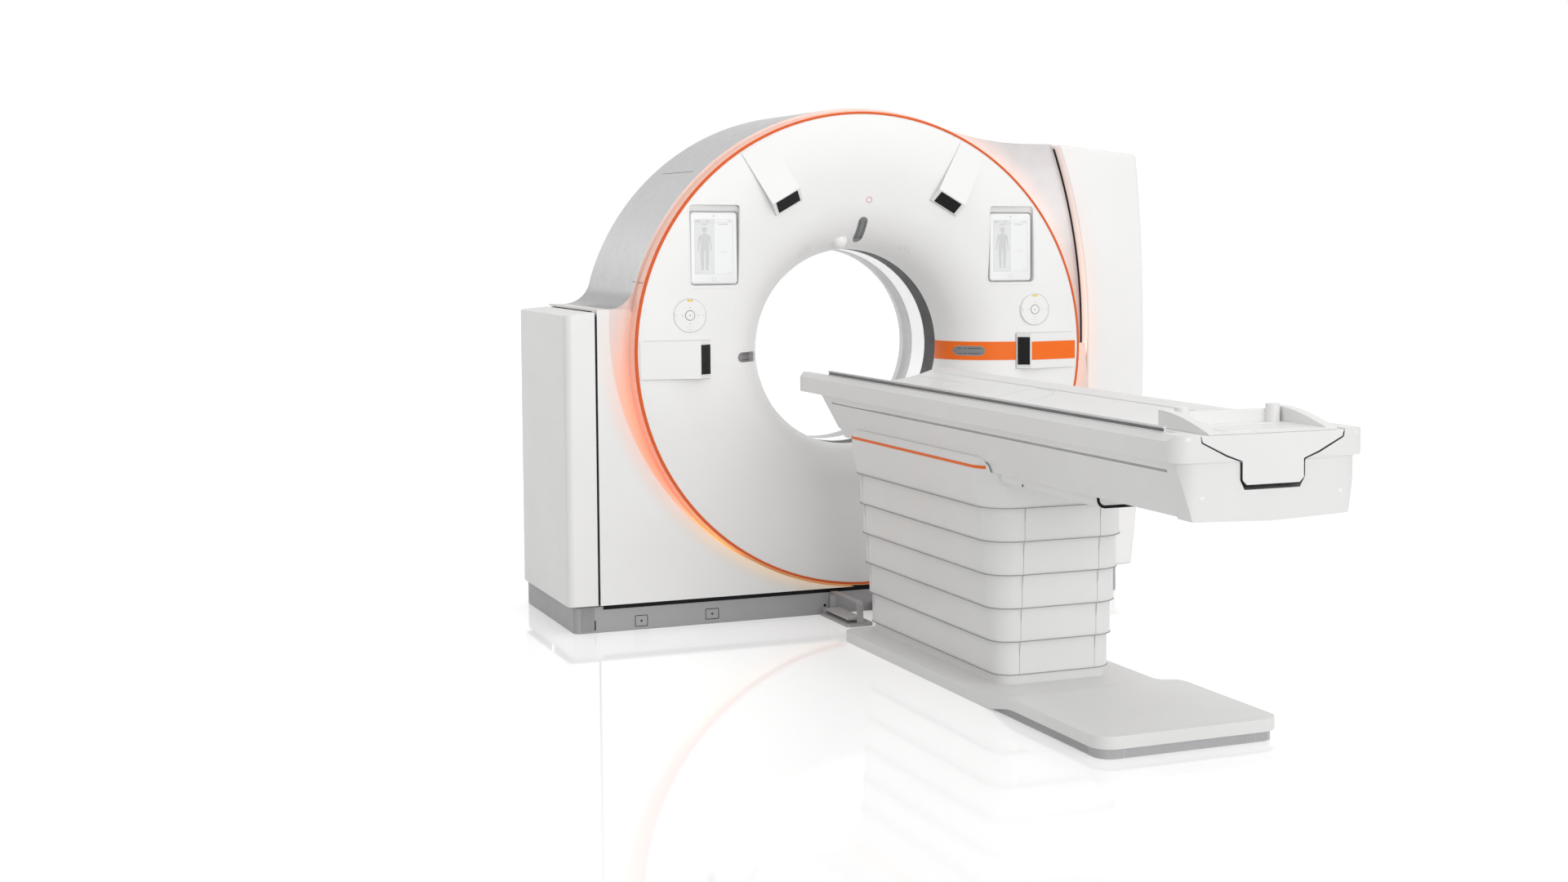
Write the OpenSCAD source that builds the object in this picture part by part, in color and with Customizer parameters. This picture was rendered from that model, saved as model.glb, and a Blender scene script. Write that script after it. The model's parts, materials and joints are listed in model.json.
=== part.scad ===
// CT scanner: ring-shaped gantry with a lifting patient table.
// Millimetres, +Z up, X across the gantry, +Y from the table into the bore.
// The origin is on the floor under the isocentre.

/* [Gantry] */
// Height of the bore axis above the floor
iso_h = 1090; // [1060:5:1150]
// Diameter of the bore
bore_d = 820; // [700:10:860]
// Diameter of the white front disc
disc_d = 1928; // [1880:4:1940]
// Depth of the covers from the front face to the back face
gantry_depth = 860; // [840:10:1000]
// Distance from the front face back to the scan plane
scan_depth = 315; // [290:5:340]
// Thickness of the moulded covers
wall = 8; // [5:1:12]
// Radius of the bell mouth that leads into the bore
bell_r = 254; // [220:2:270]
// Radius of the slight crown of the front disc
crown_r = 810; // [760:10:1200]
// Depth of the rear funnel from the bore to the back face
funnel_r = 239; // [200:1:250]
// Length of the dark scan window in the bore
window_len = 118; // [60:2:160]

/* [Towers and hood] */
// Width of the left tower from its outer side to the black seam
left_tower_w = 122; // [90:2:160]
// Width of the shoulder between the hood's foot and the seam
shoulder_w = 67; // [40:1:90]
// Height of the shoulder where the hood lands on the left tower
shoulder_h = 1270; // [1200:2:1320]
// Rise of the left tower's top from its outer side to the shoulder
left_top_rise = 20; // [6:1:40]
// Reach of the right tower from the bore axis
right_reach = 1310; // [1280:5:1360]
// Height of the right tower at its inner side
right_tower_h = 1945; // [1900:5:1980]
// Drop of the right tower's top towards its outer side
right_top_drop = 40; // [10:2:80]
// Distance of the right tower's inner edge from the bore axis
right_edge_x = 1030; // [1010:2:1060]
// Radius of the curved inner edge of the right tower
right_edge_r = 2350; // [2000:50:3000]
// Radius of the silver hood
hood_r = 990; // [985:1:1000]
// Radius of the hollow between hood and left shoulder
left_fillet_r = 110; // [80:5:130]
// Radius of the hollow between hood and right tower
right_fillet_r = 1200; // [900:50:1300]
// Depth of the towers from front to back
tower_depth = 800; // [780:5:820]
// Height of the plinth
plinth_h = 104; // [90:1:106]
// Height of the dark gap between plinth and covers
gap_h = 6; // [3:1:8]
// Set-back of the plinth under the right tower
plinth_right_inset = 130; // [60:5:180]

/* [Glowing rim] */
// Width of the light ring
ring_w = 9; // [5:1:9]
// Depth of the light ring
ring_depth = 16; // [8:1:24]
// Depth at which the hood starts behind the front face
rim_depth = 80; // [60:2:100]
// Radius of the glowing hollow in the lower panels
cove_r = 1077; // [1060:1:1090]
// Height of that hollow's centre above the bore axis
cove_rise = 108; // [90:1:120]

/* [Front controls] */
// Height of the tablets' centre above the bore axis
tablet_rise = 418; // [380:2:440]
// Distance of the tablets' centre from the bore axis
tablet_x = 650; // [630:2:660]
// Tablet width
tablet_w = 192; // [160:1:200]
// Tablet height
tablet_h = 284; // [240:1:290]
// Tablet thickness
tablet_t = 9; // [6:1:12]
// Diameter of the round control panels
dial_d = 136; // [110:1:150]
// Distance of the control panels from the bore axis
dial_x = 756; // [740:2:770]
// Height of the control panels above the bore axis
dial_rise = 153; // [145:1:160]
// Diameter of the centre button
button_d = 36; // [24:1:44]
// Travel of the centre button
button_travel = 2.5; // [1:0.5:4]
// Width of the two camera pods at the top
upper_pod_w = 132; // [110:1:140]
// Angle of the upper pods from the vertical
upper_pod_angle = 30; // [26:1:33]
// Width of the two pods at the sides
side_pod_w = 150; // [120:1:156]
// Drop of the side pods and the orange band below the bore axis
side_drop = 22; // [15:1:30]
// Stand-out of the pods from the front face
pod_out = 44; // [30:1:60]
// Height of the orange band
band_h = 78; // [50:1:90]

/* [Rotor] */
// Outer radius of the turning frame
rotor_r = 900; // [860:5:920]
// Inner radius of the turning frame
rotor_bore_r = 445; // [435:1:450]
// Depth of the turning plate's front face
rotor_y = 500; // [480:5:505]
// Thickness of the turning plate
rotor_t = 40; // [30:1:45]
// Inner radius of the turning bearing ring
bearing_r = 560; // [550:5:570]
// Radial width of each bearing ring
bearing_w = 60; // [40:2:70]
// Width of both bearing rings along the axis
bearing_len = 60; // [50:1:70]
// Outer radius of the slip ring
slip_r = 520; // [500:2:530]
// Thickness of the fixed upright plate
frame_t = 40; // [30:1:45]

/* [Table top] */
// Gap between the front face and the table's head end
table_gap = 75; // [60:5:120]
// Length of the table from head end to foot end
table_len = 3075; // [2900:5:3200]
// Height of the tabletop
top_h = 1009; // [1000:1:1040]
// Half width of the table over its lips
lip_w = 322; // [312:1:340]
// Height of the lips' outer faces
lip_h = 59; // [50:1:64]
// Depth of the trough's underside below the tabletop
trough_depth = 237; // [228:1:245]
// Half width of the trough at its underside
trough_w = 258; // [250:1:270]
// Half width of the cradle
cradle_w = 237; // [228:1:240]
// Half width of the cradle's keel
keel_w = 102; // [90:1:108]
// Depth of the keel below the tabletop
keel_h = 145; // [138:1:148]
// Running clearance round the cradle
cradle_gap = 4; // [2:0.5:6]
// Radius of the dished lying surface
dish_r = 760; // [600:10:1200]
// Depth of the dish in the middle
dish_depth = 48; // [20:1:60]
// Thickness of the foot-end cap
cap_t = 95; // [70:1:120]
// Length of the foot tray
tray_len = 290; // [220:5:340]
// Half width of the foot tray
tray_w = 214; // [190:2:225]
// Height of the foot tray's sides
tray_h = 52; // [40:1:60]

/* [Stand] */
// Length of the stand's widest skirt
stand_len = 1340; // [1200:10:1400]
// Half width of the stand's widest skirt
stand_w = 272; // [266:1:280]
// Distance of the stand's back from the front face
stand_back = 480; // [460:5:520]
// Corner radius of the stand's widest skirt
stand_corner = 125; // [100:1:140]
// Number of telescoping shells
shell_count = 5; // [5]
// Height of the base's collar that shows below the shells
collar_show = 35; // [24:1:44]
// Step inwards from each shell to the next
shell_step = 11; // [8:0.5:11.5]
// Wall of the shells
shell_wall = 4; // [3:0.5:5]
// Overlap of neighbouring shells when raised
shell_lap = 15; // [10:1:18]
// Downward travel of the tabletop
lift_travel = 440; // [300:10:440]
// Thickness of the base plate
base_t = 40; // [34:1:42]
// Half width of the base plate
base_w = 320; // [300:2:340]
// Length of the raised foot plate
foot_len = 850; // [700:10:900]
// Rise of the foot plate above the base plate
foot_rise = 32; // [24:1:40]
// Width of the lifting column
column_w = 220; // [200:2:240]
// Length of the lifting column
column_len = 320; // [300:2:400]
// Wall of the lifting column's tubes
column_wall = 10; // [6:1:12]

/* [Foot switch] */
// Length of the foot switch
switch_len = 330; // [260:5:340]
// Width of the foot switch
switch_w = 112; // [90:1:120]
// Height of the guard strap
guard_h = 98; // [90:1:110]
// Width of the guard strap
guard_w = 26; // [18:1:28]
// Thickness of the guard strap
guard_t = 6; // [4:1:8]

/* [Fits] */
// Gap between parts that turn or slide past each other
run_gap = 0.4; // [0.3:0.1:0.8]
// Gap between pieces that are fixed to each other
seat_gap = 0.3; // [0.1:0.1:0.5]

/* [Hidden] */
$fn = 96;
hull_fn = 32;
big = 6000;

// Colours
white = "#f0f0ee";
silver = "#a9a9ab";
grey = "#8e9094";
dark = "#3a3a3c";
black = "#161616";
orange = "#f06414";
steel = "#787c82";
copper = "#b4703c";

// Front disc: crown and bell mouth meet in one smooth line
bore_r = bore_d / 2;
disc_r = disc_d / 2;
bell_c_r = bore_r + bell_r;
crown_c_r = (disc_r + bell_c_r) / 2;
crown_c_y = sqrt(crown_r * crown_r - pow(disc_r - crown_c_r, 2));
centres = crown_r - bell_r;
throat_y = crown_c_y - sqrt(centres * centres - pow(crown_c_r - bell_c_r, 2));
tangent = [(crown_c_r - bell_c_r) / centres, (crown_c_y - throat_y) / centres];
window_end = throat_y + window_len;
liner_wall = 6;
rear_start = gantry_depth - funnel_r;

// Rim and covers
ring_in = disc_r + seat_gap;
ring_out = ring_in + ring_w;
band_w = 5;
band_out = ring_out + band_w;
cover_z = plinth_h + gap_h;
cove_room = 4;
cove_back_r = band_out + cove_room;
hood_y = rim_depth;
hood_len = tower_depth - hood_y;
left_c_z = shoulder_h + left_fillet_r;
left_c_x = -sqrt(pow(hood_r + left_fillet_r, 2) - pow(left_c_z - iso_h, 2));
seam_x = shoulder_w - left_c_x;
left_reach = seam_x + left_tower_w;
left_tower_h = shoulder_h - left_top_rise;
shoulder_step = 3;
crown_drop = 110;
right_shoulder = min(right_tower_h + shoulder_step, iso_h + hood_r - crown_drop);
right_c_z = right_shoulder + right_fillet_r;
right_c_x = sqrt(pow(hood_r + right_fillet_r, 2) - pow(right_c_z - iso_h, 2));
edge_c_x = right_edge_x - right_edge_r;
edge_rise = 60;
edge_c_z = iso_h + edge_rise;
tower_bulge_r = 8000;
tower_front = 30;
tower_seam = 8;
plinth_inset = 28;
plinth_front = 25;

// Table places, measured from the front face
head_y = -table_gap;
foot_y = -table_gap - table_len;
trough_z = top_h - trough_depth;
lip_drop = 75;
lip_proud = 3;
lip_bottom = top_h - lip_drop;
lip_top = top_h + lip_proud;
lip_ledge = 22;
lip_bevel = 16;
lip_flat = 42;
keel_z = top_h - keel_h;
keel_neck = 77;
keel_top = top_h - keel_neck;
notch_depth = 58;
notch_z = top_h - notch_depth;
notch_w = 152;
keel_bevel = 14;
rib_drop = 14;
pocket_floor = keel_z - rib_drop;
rail_w = 12;
rail_h = 19;
rail_inset = 22;
rail_x = lip_w - rail_inset;
rail_setback = 285;
rail_start = head_y - rail_setback;
stand_y = -stand_back - stand_len / 2;
skirt_drop = 122;
skirt_z = trough_z - skirt_drop;
ceiling_drop = 14;
ceiling_z = trough_z - ceiling_drop;
plate_lead = 40;
plate_trail = 30;
plate_back = -stand_back - plate_lead;
plate_front = -stand_back - stand_len - plate_trail;
plate_end = plate_front - foot_len;
shell_pitch = (skirt_z - base_t - collar_show) / shell_count;
column_gap = 2;
column_play = 5;
column_lap = 30;
stage_travel = lift_travel / 2;

// Places things from the front face, so that the scan plane is at Y 0
module placed() {
    translate([0, -scan_depth, 0]) children();
}

// Turns an outline of radius and depth about the bore axis, starting at the lower right
start_angle = 45;
module about_bore() {
    translate([0, 0, iso_h]) rotate([-90, start_angle, 0]) rotate_extrude($fn = 180) children();
}

// Draws a front-view outline (x, z) from depth y over a length
module along_y(y, len) {
    translate([0, y, 0]) rotate([90, 0, 0]) mirror([0, 0, 1]) linear_extrude(len) children();
}

// Draws a side-view outline (y, z) from x over a length
module along_x(x, len) {
    translate([x, 0, 0]) rotate([90, 0, 90]) linear_extrude(len) children();
}

// Rectangle with round corners, about its centre
module round_rect(w, h, r) {
    square([w - 2 * r, h], center = true);
    square([w, h - 2 * r], center = true);
    for (sx = [-1, 1], sy = [-1, 1])
        translate([sx * (w / 2 - r), sy * (h / 2 - r)]) circle(r);
}

// Slot with round ends, about its centre
module capsule(len, w) {
    square([len - w, w], center = true);
    for (s = [-1, 1]) translate([s * (len - w) / 2, 0]) circle(d = w);
}

module both_sides() {
    children();
    mirror([1, 0, 0]) children();
}

// Points of an arc about a centre, from one angle to another
function arc(cx, cz, r, from, to, steps) =
    [for (i = [0:steps]) let (a = from + (to - from) * i / steps) [cx + r * cos(a), cz + r * sin(a)]];

// Outline of the front disc in radius and depth; grow moves the surface outwards
module disc_outline(grow) {
    split = [bell_c_r, throat_y] - tangent * 2 * bell_r;
    edge = disc_r + min(grow, 0);
    intersection() {
        translate([crown_c_r, crown_c_y]) circle(crown_r + grow, $fn = 360);
        polygon([[bell_c_r, throat_y], split, [edge, split.y], [edge, throat_y]]);
    }
    intersection() {
        translate([bell_c_r, throat_y]) circle(bell_r + grow, $fn = 180);
        polygon([[bell_c_r, throat_y], split, [bore_r - bell_r, split.y], [bore_r - bell_r, throat_y]]);
    }
}

// Solid space behind the disc's surface, for seating what stands on it
module disc_space(grow) {
    about_bore() disc_outline(grow);
}

module front_cover() {
    color(white) placed() difference() {
        union() {
            about_bore() {
                difference() {
                    disc_outline(0);
                    disc_outline(-wall);
                }
                translate([disc_r - wall, wall]) square([wall, hood_y - wall]);
            }
            dome();
        }
        both_sides() {
            translate([tablet_x, 0, iso_h + tablet_rise]) dock_hole(dock_lip);
            translate([dial_x, 0, iso_h + dial_rise]) dial_hole();
        }
    }
}

// Small round housing moulded on the bell mouth, above the bore
dome_r = 34;
dome_x = -74;
dome_rise = 446;
dome_y = 128;
module dome() {
    difference() {
        translate([dome_x, dome_y, iso_h + dome_rise]) sphere(dome_r);
        disc_space(-wall / 2);
        about_bore() square([bore_r, big]);
    }
}

// Tablet docks: shallow tubs with a sloping finger scoop above and below the tablet
dock_depth = 34;
dock_margin = 6;
dock_scoop = 26;
dock_lip = 5;
dock_corner = 16;
dock_w = tablet_w + 2 * dock_margin;
dock_h = tablet_h + 2 * dock_margin + dock_scoop;
module dock_hole(grow) {
    along_y(-pod_out, pod_out + dock_depth + wall)
        translate([0, dock_scoop / 4]) round_rect(dock_w + 2 * grow, dock_h + 2 * grow, dock_corner + grow);
}

module tablet_docks() {
    color(white) placed() both_sides() translate([tablet_x, 0, iso_h + tablet_rise]) difference() {
        intersection() {
            dock_hole(dock_lip - seat_gap);
            translate([-tablet_x, 0, -iso_h - tablet_rise]) disc_space(0);
        }
        along_y(-pod_out, pod_out + dock_depth - wall)
            round_rect(dock_w, tablet_h + 2 * dock_margin, dock_corner);
        // Scoop that runs out towards the top
        along_x(-dock_w / 2, dock_w) polygon([[-pod_out, tablet_h / 2 + dock_margin + dock_scoop],
            [2, tablet_h / 2 + dock_margin + dock_scoop], [dock_depth - wall, tablet_h / 2 - dock_scoop],
            [dock_depth - wall, 0], [-pod_out, 0]]);
    }
}

module tablets() {
    color(white) placed() both_sides() translate([tablet_x, 0, iso_h + tablet_rise])
        along_y(dock_depth - wall - tablet_t - tablet_prop, tablet_t)
            round_rect(tablet_w, tablet_h, dock_corner);
    color(grey) placed() both_sides() translate([tablet_x, 0, iso_h + tablet_rise])
        along_y(dock_depth - wall - tablet_prop, tablet_prop)
            round_rect(tablet_w / 2, tablet_h / 2, dock_corner);
}
tablet_prop = 14;

// Round control panels, each with a blind hole that leaves room for the button's travel
dial_y = -15;
dial_floor = 4;
button_t = 8;
button_proud = 1.5;
button_room = 1;
dial_hole_depth = button_t - button_proud + button_travel + button_room;
dial_depth = dial_hole_depth + dial_floor;
module dial_hole() {
    along_y(-pod_out, pod_out + dial_depth + wall) circle(d = dial_d + 2 * seat_gap);
}

module dial_panels() {
    color(white) placed() both_sides() translate([dial_x, 0, iso_h + dial_rise]) difference() {
        along_y(dial_y, dial_depth) circle(d = dial_d);
        along_y(dial_y - wall, dial_hole_depth + wall) circle(d = button_d + 2 * run_gap);
    }
}

module dial_button(side) {
    color(white) placed() translate([side * dial_x, 0, iso_h + dial_rise])
        along_y(dial_y - button_proud, button_t) circle(d = button_d);
}
module dial_button_left() {
    dial_button(-1);
}
module dial_button_right() {
    dial_button(1);
}

// Camera pods: wedges that stand out towards the bore and end in a sloping window
pod_start = disc_r - 8;
pod_peak = 724;
pod_end = 672;
pod_back = 40;
pod_step = 5;
window_t = 3;
pod_lip = 0.22 * pod_out;
module pod_wedge() {
    polygon([[pod_start, -pod_step], [pod_peak, -pod_out], [pod_end, -pod_lip],
        [pod_end, pod_back], [pod_start, pod_back]]);
}

pod_window_edge = 5;
module pod_window(w) {
    slope = atan2(pod_out - pod_lip, pod_peak - pod_end);
    length = norm([pod_out - pod_lip, pod_peak - pod_end]);
    translate([(pod_peak + pod_end) / 2, -(pod_out + pod_lip) / 2, 0]) rotate([0, 0, -slope])
        translate([0, -window_t / 2, 0]) cube([length - 2 * pod_window_edge, window_t, w], center = true);
}

module pod_place(angle, drop) {
    translate([0, 0, iso_h - drop]) rotate([0, -angle, 0]) children();
}

module seated_pod(angle, drop, w) {
    color(white) placed() difference() {
        pod_place(angle, drop) pod_solid(w);
        disc_space(seat_gap);
    }
}

module pod_solid(w) {
    translate([0, 0, -w / 2]) linear_extrude(w) pod_wedge();
}

module upper_pod_left() {
    seated_pod(90 + upper_pod_angle, 0, upper_pod_w);
}
module upper_pod_right() {
    seated_pod(90 - upper_pod_angle, 0, upper_pod_w);
}
module side_pod_left() {
    seated_pod(180, side_drop, side_pod_w);
}
module side_pod_right() {
    seated_pod(0, side_drop, side_pod_w);
}

window_share = 0.78;
module pod_windows() {
    color(black) placed() {
        for (a = [90 + upper_pod_angle, 90 - upper_pod_angle])
            pod_place(a, 0) pod_window(upper_pod_w * window_share);
        for (a = [180, 0]) pod_place(a, side_drop) pod_window(side_pod_w * window_share);
    }
}

// Thin pieces that follow the disc's surface
skin_t = 1;
module skin(t) {
    about_bore() difference() {
        disc_outline(seat_gap + t);
        disc_outline(seat_gap);
    }
}

// Points along the disc's surface from the throat out to a radius
function surface_points(grow, r_end) =
    let (meet = atan2(-tangent.y, -tangent.x), last = -acos((r_end - crown_c_r) / crown_r))
    concat(arc(bell_c_r, throat_y, bell_r + grow, -180, meet, 18),
        arc(crown_c_r, crown_c_y, crown_r + grow, meet, last, 6));
function turned(points) = [for (i = [len(points) - 1:-1:0]) points[i]];

module orange_band() {
    low = surface_points(seat_gap, pod_end + band_h);
    high = surface_points(seat_gap + skin_t, pod_end + band_h);
    color(orange) placed() difference() {
        intersection() {
            about_bore() polygon(concat(low, turned(high)));
            translate([0, -big / 2, iso_h - side_drop - band_h / 2]) cube([pod_end - 1, big, band_h]);
        }
        laser_shape(0, 1);
    }
}

// Laser windows: rounded slots in the bell mouth at both sides and above the bore
laser_len = 104;
laser_w = 40;
laser_r = 492;
module laser_shape(angle, grow) {
    translate([0, 0, iso_h]) rotate([0, -angle, 0]) translate([laser_r, 0, -side_drop * cos(angle)])
        along_y(-pod_out, throat_y + pod_out)
            capsule(laser_len + 2 * grow, laser_w + 2 * grow);
}

module laser_windows() {
    color(grey) placed() for (a = [0, 90, 180]) intersection() {
        skin(skin_t);
        laser_shape(a, 0);
    }
}

module light_ring() {
    color(orange) placed() about_bore() translate([ring_in, -ring_depth / 8]) square([ring_w, ring_depth]);
}

module halo_band() {
    color(white) placed() about_bore() {
        top = ring_depth * 7 / 8;
        translate([ring_in, top]) square([band_out - ring_in, hood_y - top]);
    }
}

module scan_window() {
    color(dark) placed() about_bore() translate([bore_r, throat_y]) square([liner_wall, window_len]);
}

module bore_liner() {
    color(white) placed() about_bore() translate([bore_r, window_end])
        square([liner_wall, rear_start - window_end]);
}

// Rear funnel, flat rear face and the flange that meets the hood
rear_r = hood_r - 50;
module rear_cover() {
    color(white) placed() about_bore() {
        intersection() {
            difference() {
                translate([bore_r + funnel_r, rear_start]) circle(funnel_r);
                translate([bore_r + funnel_r, rear_start]) circle(funnel_r - wall);
            }
            translate([bore_r - wall, rear_start]) square([funnel_r + wall, funnel_r]);
        }
        translate([bore_r + funnel_r, gantry_depth - wall]) square([rear_r - bore_r - funnel_r, wall]);
        translate([rear_r - wall, tower_depth]) square([wall, gantry_depth - tower_depth]);
        translate([rear_r - wall, tower_depth]) square([hood_r - wall - rear_r + wall - seat_gap, wall]);
    }
}

// Front view of the silver hood: hollow, arch, hollow, shoulder and tower edge in one smooth line.
// The inset gives the inner face of its wall, open below
hood_foot = 4;
function hood_points(inset) =
    let (left_z = shoulder_h - wall - hood_foot,
        low_z = min(left_z, iso_h) - 4 * inset,
        foot_z = inset > 0 ? low_z : left_z,
        floor_z = inset > 0 ? low_z : iso_h,
        shoulder_z = right_shoulder - inset,
        fillet = left_fillet_r + inset,
        edge_r = right_edge_r - tower_seam - inset,
        left_a = atan2(left_c_z - iso_h, left_c_x),
        right_a = atan2(right_c_z - iso_h, right_c_x),
        edge_top = asin((shoulder_z - edge_c_z) / edge_r),
        edge_foot = asin((floor_z - edge_c_z) / edge_r))
    concat([[left_c_x + inset, foot_z]],
        arc(left_c_x, left_c_z, fillet, -90 + asin(inset / fillet), left_a - 180, 12),
        arc(0, iso_h, hood_r - inset, left_a, right_a, 48),
        arc(right_c_x, right_c_z, right_fillet_r + inset, right_a - 180, -90, 10),
        arc(edge_c_x, edge_c_z, edge_r, edge_top, edge_foot, 14),
        inset > 0 ? [] : [[0, floor_z], [0, foot_z]]);
module hood_outline(inset) {
    polygon(hood_points(inset));
}

module arch_hood() {
    color(silver) placed() difference() {
        along_y(hood_y, hood_len) hood_outline(0);
        along_y(hood_y + wall, hood_len) hood_outline(wall);
        along_y(hood_y - wall, 3 * wall) translate([0, iso_h]) circle(ring_out, $fn = 360);
    }
}

// Left tower: front view with a sloping top, and a plan with a round front edge
tower_corner = 34;
module left_tower_solid(inset) {
    outer_x = -left_reach + inset;
    inner_x = -seam_x - tower_seam / 2;
    foot_z = cover_z - (inset > 0 ? wall : 0);
    width = inner_x - outer_x;
    depth = tower_depth - 2 * inset;
    intersection() {
        along_y(inset, depth) polygon([[outer_x, foot_z], [inner_x, foot_z],
            [inner_x, left_tower_h + left_top_rise / 2 - inset], [outer_x, left_tower_h - inset]]);
        translate([outer_x, tower_depth / 2, 0]) linear_extrude(big) {
            translate([0, tower_corner - depth / 2]) square([width, depth - 2 * tower_corner]);
            translate([tower_corner, -depth / 2]) square([width - tower_corner, depth]);
            for (s = [-1, 1])
                translate([tower_corner, s * (depth / 2 - tower_corner)]) circle(tower_corner);
        }
    }
}

module left_tower_cover() {
    color(white) placed() difference() {
        left_tower_solid(0);
        left_tower_solid(wall);
    }
}

// Right tower: curved inner edge, bulging outer side, sloping top
module right_tower_outline(inset) {
    top_x = edge_c_x + sqrt(pow(right_edge_r, 2) - pow(right_tower_h - edge_c_z, 2));
    slope = right_top_drop / (right_reach - top_x);
    difference() {
        intersection() {
            polygon([[0, cover_z + inset], [right_reach, cover_z + inset],
                [right_reach, right_tower_h - right_top_drop - inset],
                [0, right_tower_h + slope * top_x - inset]]);
            translate([right_reach - tower_bulge_r - inset, iso_h]) circle(tower_bulge_r, $fn = 1440);
        }
        translate([edge_c_x, edge_c_z]) circle(right_edge_r + inset, $fn = 720);
        translate([-big, -big]) square([big + right_edge_x + inset, big + edge_c_z]);
    }
}

module right_tower_cover() {
    color(white) placed() difference() {
        along_y(tower_front, tower_depth - tower_front) right_tower_outline(0);
        along_y(tower_front + wall, tower_depth - tower_front - 2 * wall) right_tower_outline(wall);
    }
}

// Hollow that glows round the rim: narrow behind, wide in front
module cove(grow) {
    hull() {
        translate([0, 0, iso_h]) along_y(hood_y, 1) circle(cove_back_r + grow, $fn = 180);
        translate([0, 0, iso_h + cove_rise]) along_y(-1, 1) circle(cove_r + grow, $fn = 180);
    }
    // Room for the light ring and the band behind it
    translate([0, 0, iso_h]) along_y(-1, hood_y + 1) circle(cove_back_r + grow, $fn = 180);
}

// Lower front panel between the bore axis and an outer edge, as an open-backed shell
module front_panel(edge_x, top_z) {
    difference() {
        translate([0, 0, cover_z]) cube([edge_x, hood_y - seat_gap, top_z - cover_z]);
        cove(0);
        difference() {
            translate([-1, wall, cover_z + wall])
                cube([edge_x - wall + 1, hood_y, top_z - cover_z - 2 * wall]);
            cove(wall);
        }
    }
}

module left_front_panel() {
    color(white) placed() {
        mirror([1, 0, 0]) front_panel(seam_x - tower_seam / 2, shoulder_h);
        // Top return that carries the foot of the hood
        translate([-seam_x + tower_seam / 2, hood_y - seat_gap, shoulder_h - wall])
            cube([seam_x - tower_seam / 2 + left_c_x - seat_gap, hood_len + seat_gap, wall]);
    }
}

module right_front_panel() {
    color(white) placed() front_panel(right_edge_x - tower_seam / 2, iso_h - seat_gap);
}

module rear_panel() {
    color(white) placed() along_y(tower_depth - wall, wall) difference() {
        translate([-seam_x + tower_seam / 2, cover_z])
            square([seam_x + right_edge_x - tower_seam, iso_h - cover_z]);
        translate([0, iso_h]) circle(rear_r - 2 * wall);
    }
}

// Plinth: open-topped tray with a raised inner lip that carries the covers
plinth_lip = 12;
module plinth_plan(inset) {
    x0 = -left_reach + plinth_inset + inset;
    x1 = right_reach - plinth_right_inset - inset;
    y0 = plinth_front + inset;
    y1 = gantry_depth - inset;
    translate([(x0 + x1) / 2, (y0 + y1) / 2]) round_rect(x1 - x0, y1 - y0, tower_corner);
}

module plinth() {
    color(grey) placed() difference() {
        union() {
            linear_extrude(plinth_h) plinth_plan(0);
            linear_extrude(cover_z) plinth_plan(plinth_lip);
        }
        translate([0, 0, wall]) linear_extrude(big) plinth_plan(plinth_lip + 2 * wall);
    }
}

// Fixed frame: upright plate with a round opening, standing on two long feet
frame_y = rotor_y + rotor_t + bearing_len;
frame_w = 720;
foot_w = 120;
foot_setback = 60;
frame_edge = 20;
plate_gap = 1;
module gantry_frame() {
    color(steel) placed() {
        along_y(frame_y, frame_t) difference() {
            union() {
                translate([0, iso_h]) circle(rotor_r - frame_edge);
                translate([-frame_w, wall]) square([2 * frame_w, iso_h - wall]);
            }
            translate([0, iso_h]) circle(bearing_r);
        }
        for (s = [-1, 1])
            translate([s * (frame_w - foot_w / 2) - foot_w / 2, plinth_front + foot_setback, wall])
                cube([foot_w, gantry_depth - plinth_front - 2 * foot_setback, plinth_h - 2 * wall]);
    }
}

module bearing_rotor_ring() {
    color(steel) placed() about_bore() translate([bearing_r, rotor_y + rotor_t])
        square([bearing_w, bearing_len - plate_gap]);
}

module bearing_fixed_ring() {
    fixed_r = bearing_r + bearing_w + run_gap;
    color(steel) placed() about_bore() translate([fixed_r, rotor_y + rotor_t + plate_gap])
        square([bearing_w, bearing_len - plate_gap - seat_gap]);
}

// Ring motor: coils on the fixed plate face magnets on the turning plate
coil_r = 760;
coil_w = 70;
magnet_t = 14;
air_gap = 4;
module motor_coils() {
    color(copper) placed() about_bore() translate([coil_r, rotor_y + rotor_t + magnet_t + air_gap])
        square([coil_w, bearing_len - magnet_t - air_gap - seat_gap]);
}

module rotor_frame() {
    color(steel) placed() about_bore() {
        translate([rotor_bore_r, rotor_y]) square([rotor_r - rotor_bore_r, rotor_t]);
        translate([rotor_r - 2 * wall, rotor_y / 2]) square([2 * wall, rotor_y / 2]);
        translate([coil_r, rotor_y + rotor_t]) square([coil_w, magnet_t]);
    }
}

slip_len = 150;
slip_seat = 5;
slip_pitch = 8;
slip_groove = 3;
module slip_ring() {
    color(copper) placed() about_bore() difference() {
        translate([rotor_bore_r + slip_seat, rotor_y + rotor_t])
            square([slip_r - rotor_bore_r - slip_seat, slip_len]);
        for (i = [1:5]) translate([slip_r - 2 * slip_groove, frame_y + frame_t + i * slip_pitch])
            square([4 * slip_groove, slip_groove]);
    }
}

brush_w = 120;
brush_len = 46;
module brush_block() {
    color(dark) placed() translate([0, 0, iso_h]) rotate([0, -45, 0])
        translate([slip_r + run_gap, frame_y + frame_t, -brush_w / 2])
            cube([bearing_r - slip_r + bearing_w, brush_len, brush_w]);
}

// Pieces on the turning plate
mount_r = 690;
piece_len = 300;
module on_rotor(angle) {
    placed() translate([0, rotor_y, iso_h]) rotate([0, -angle, 0]) children();
}

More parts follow.
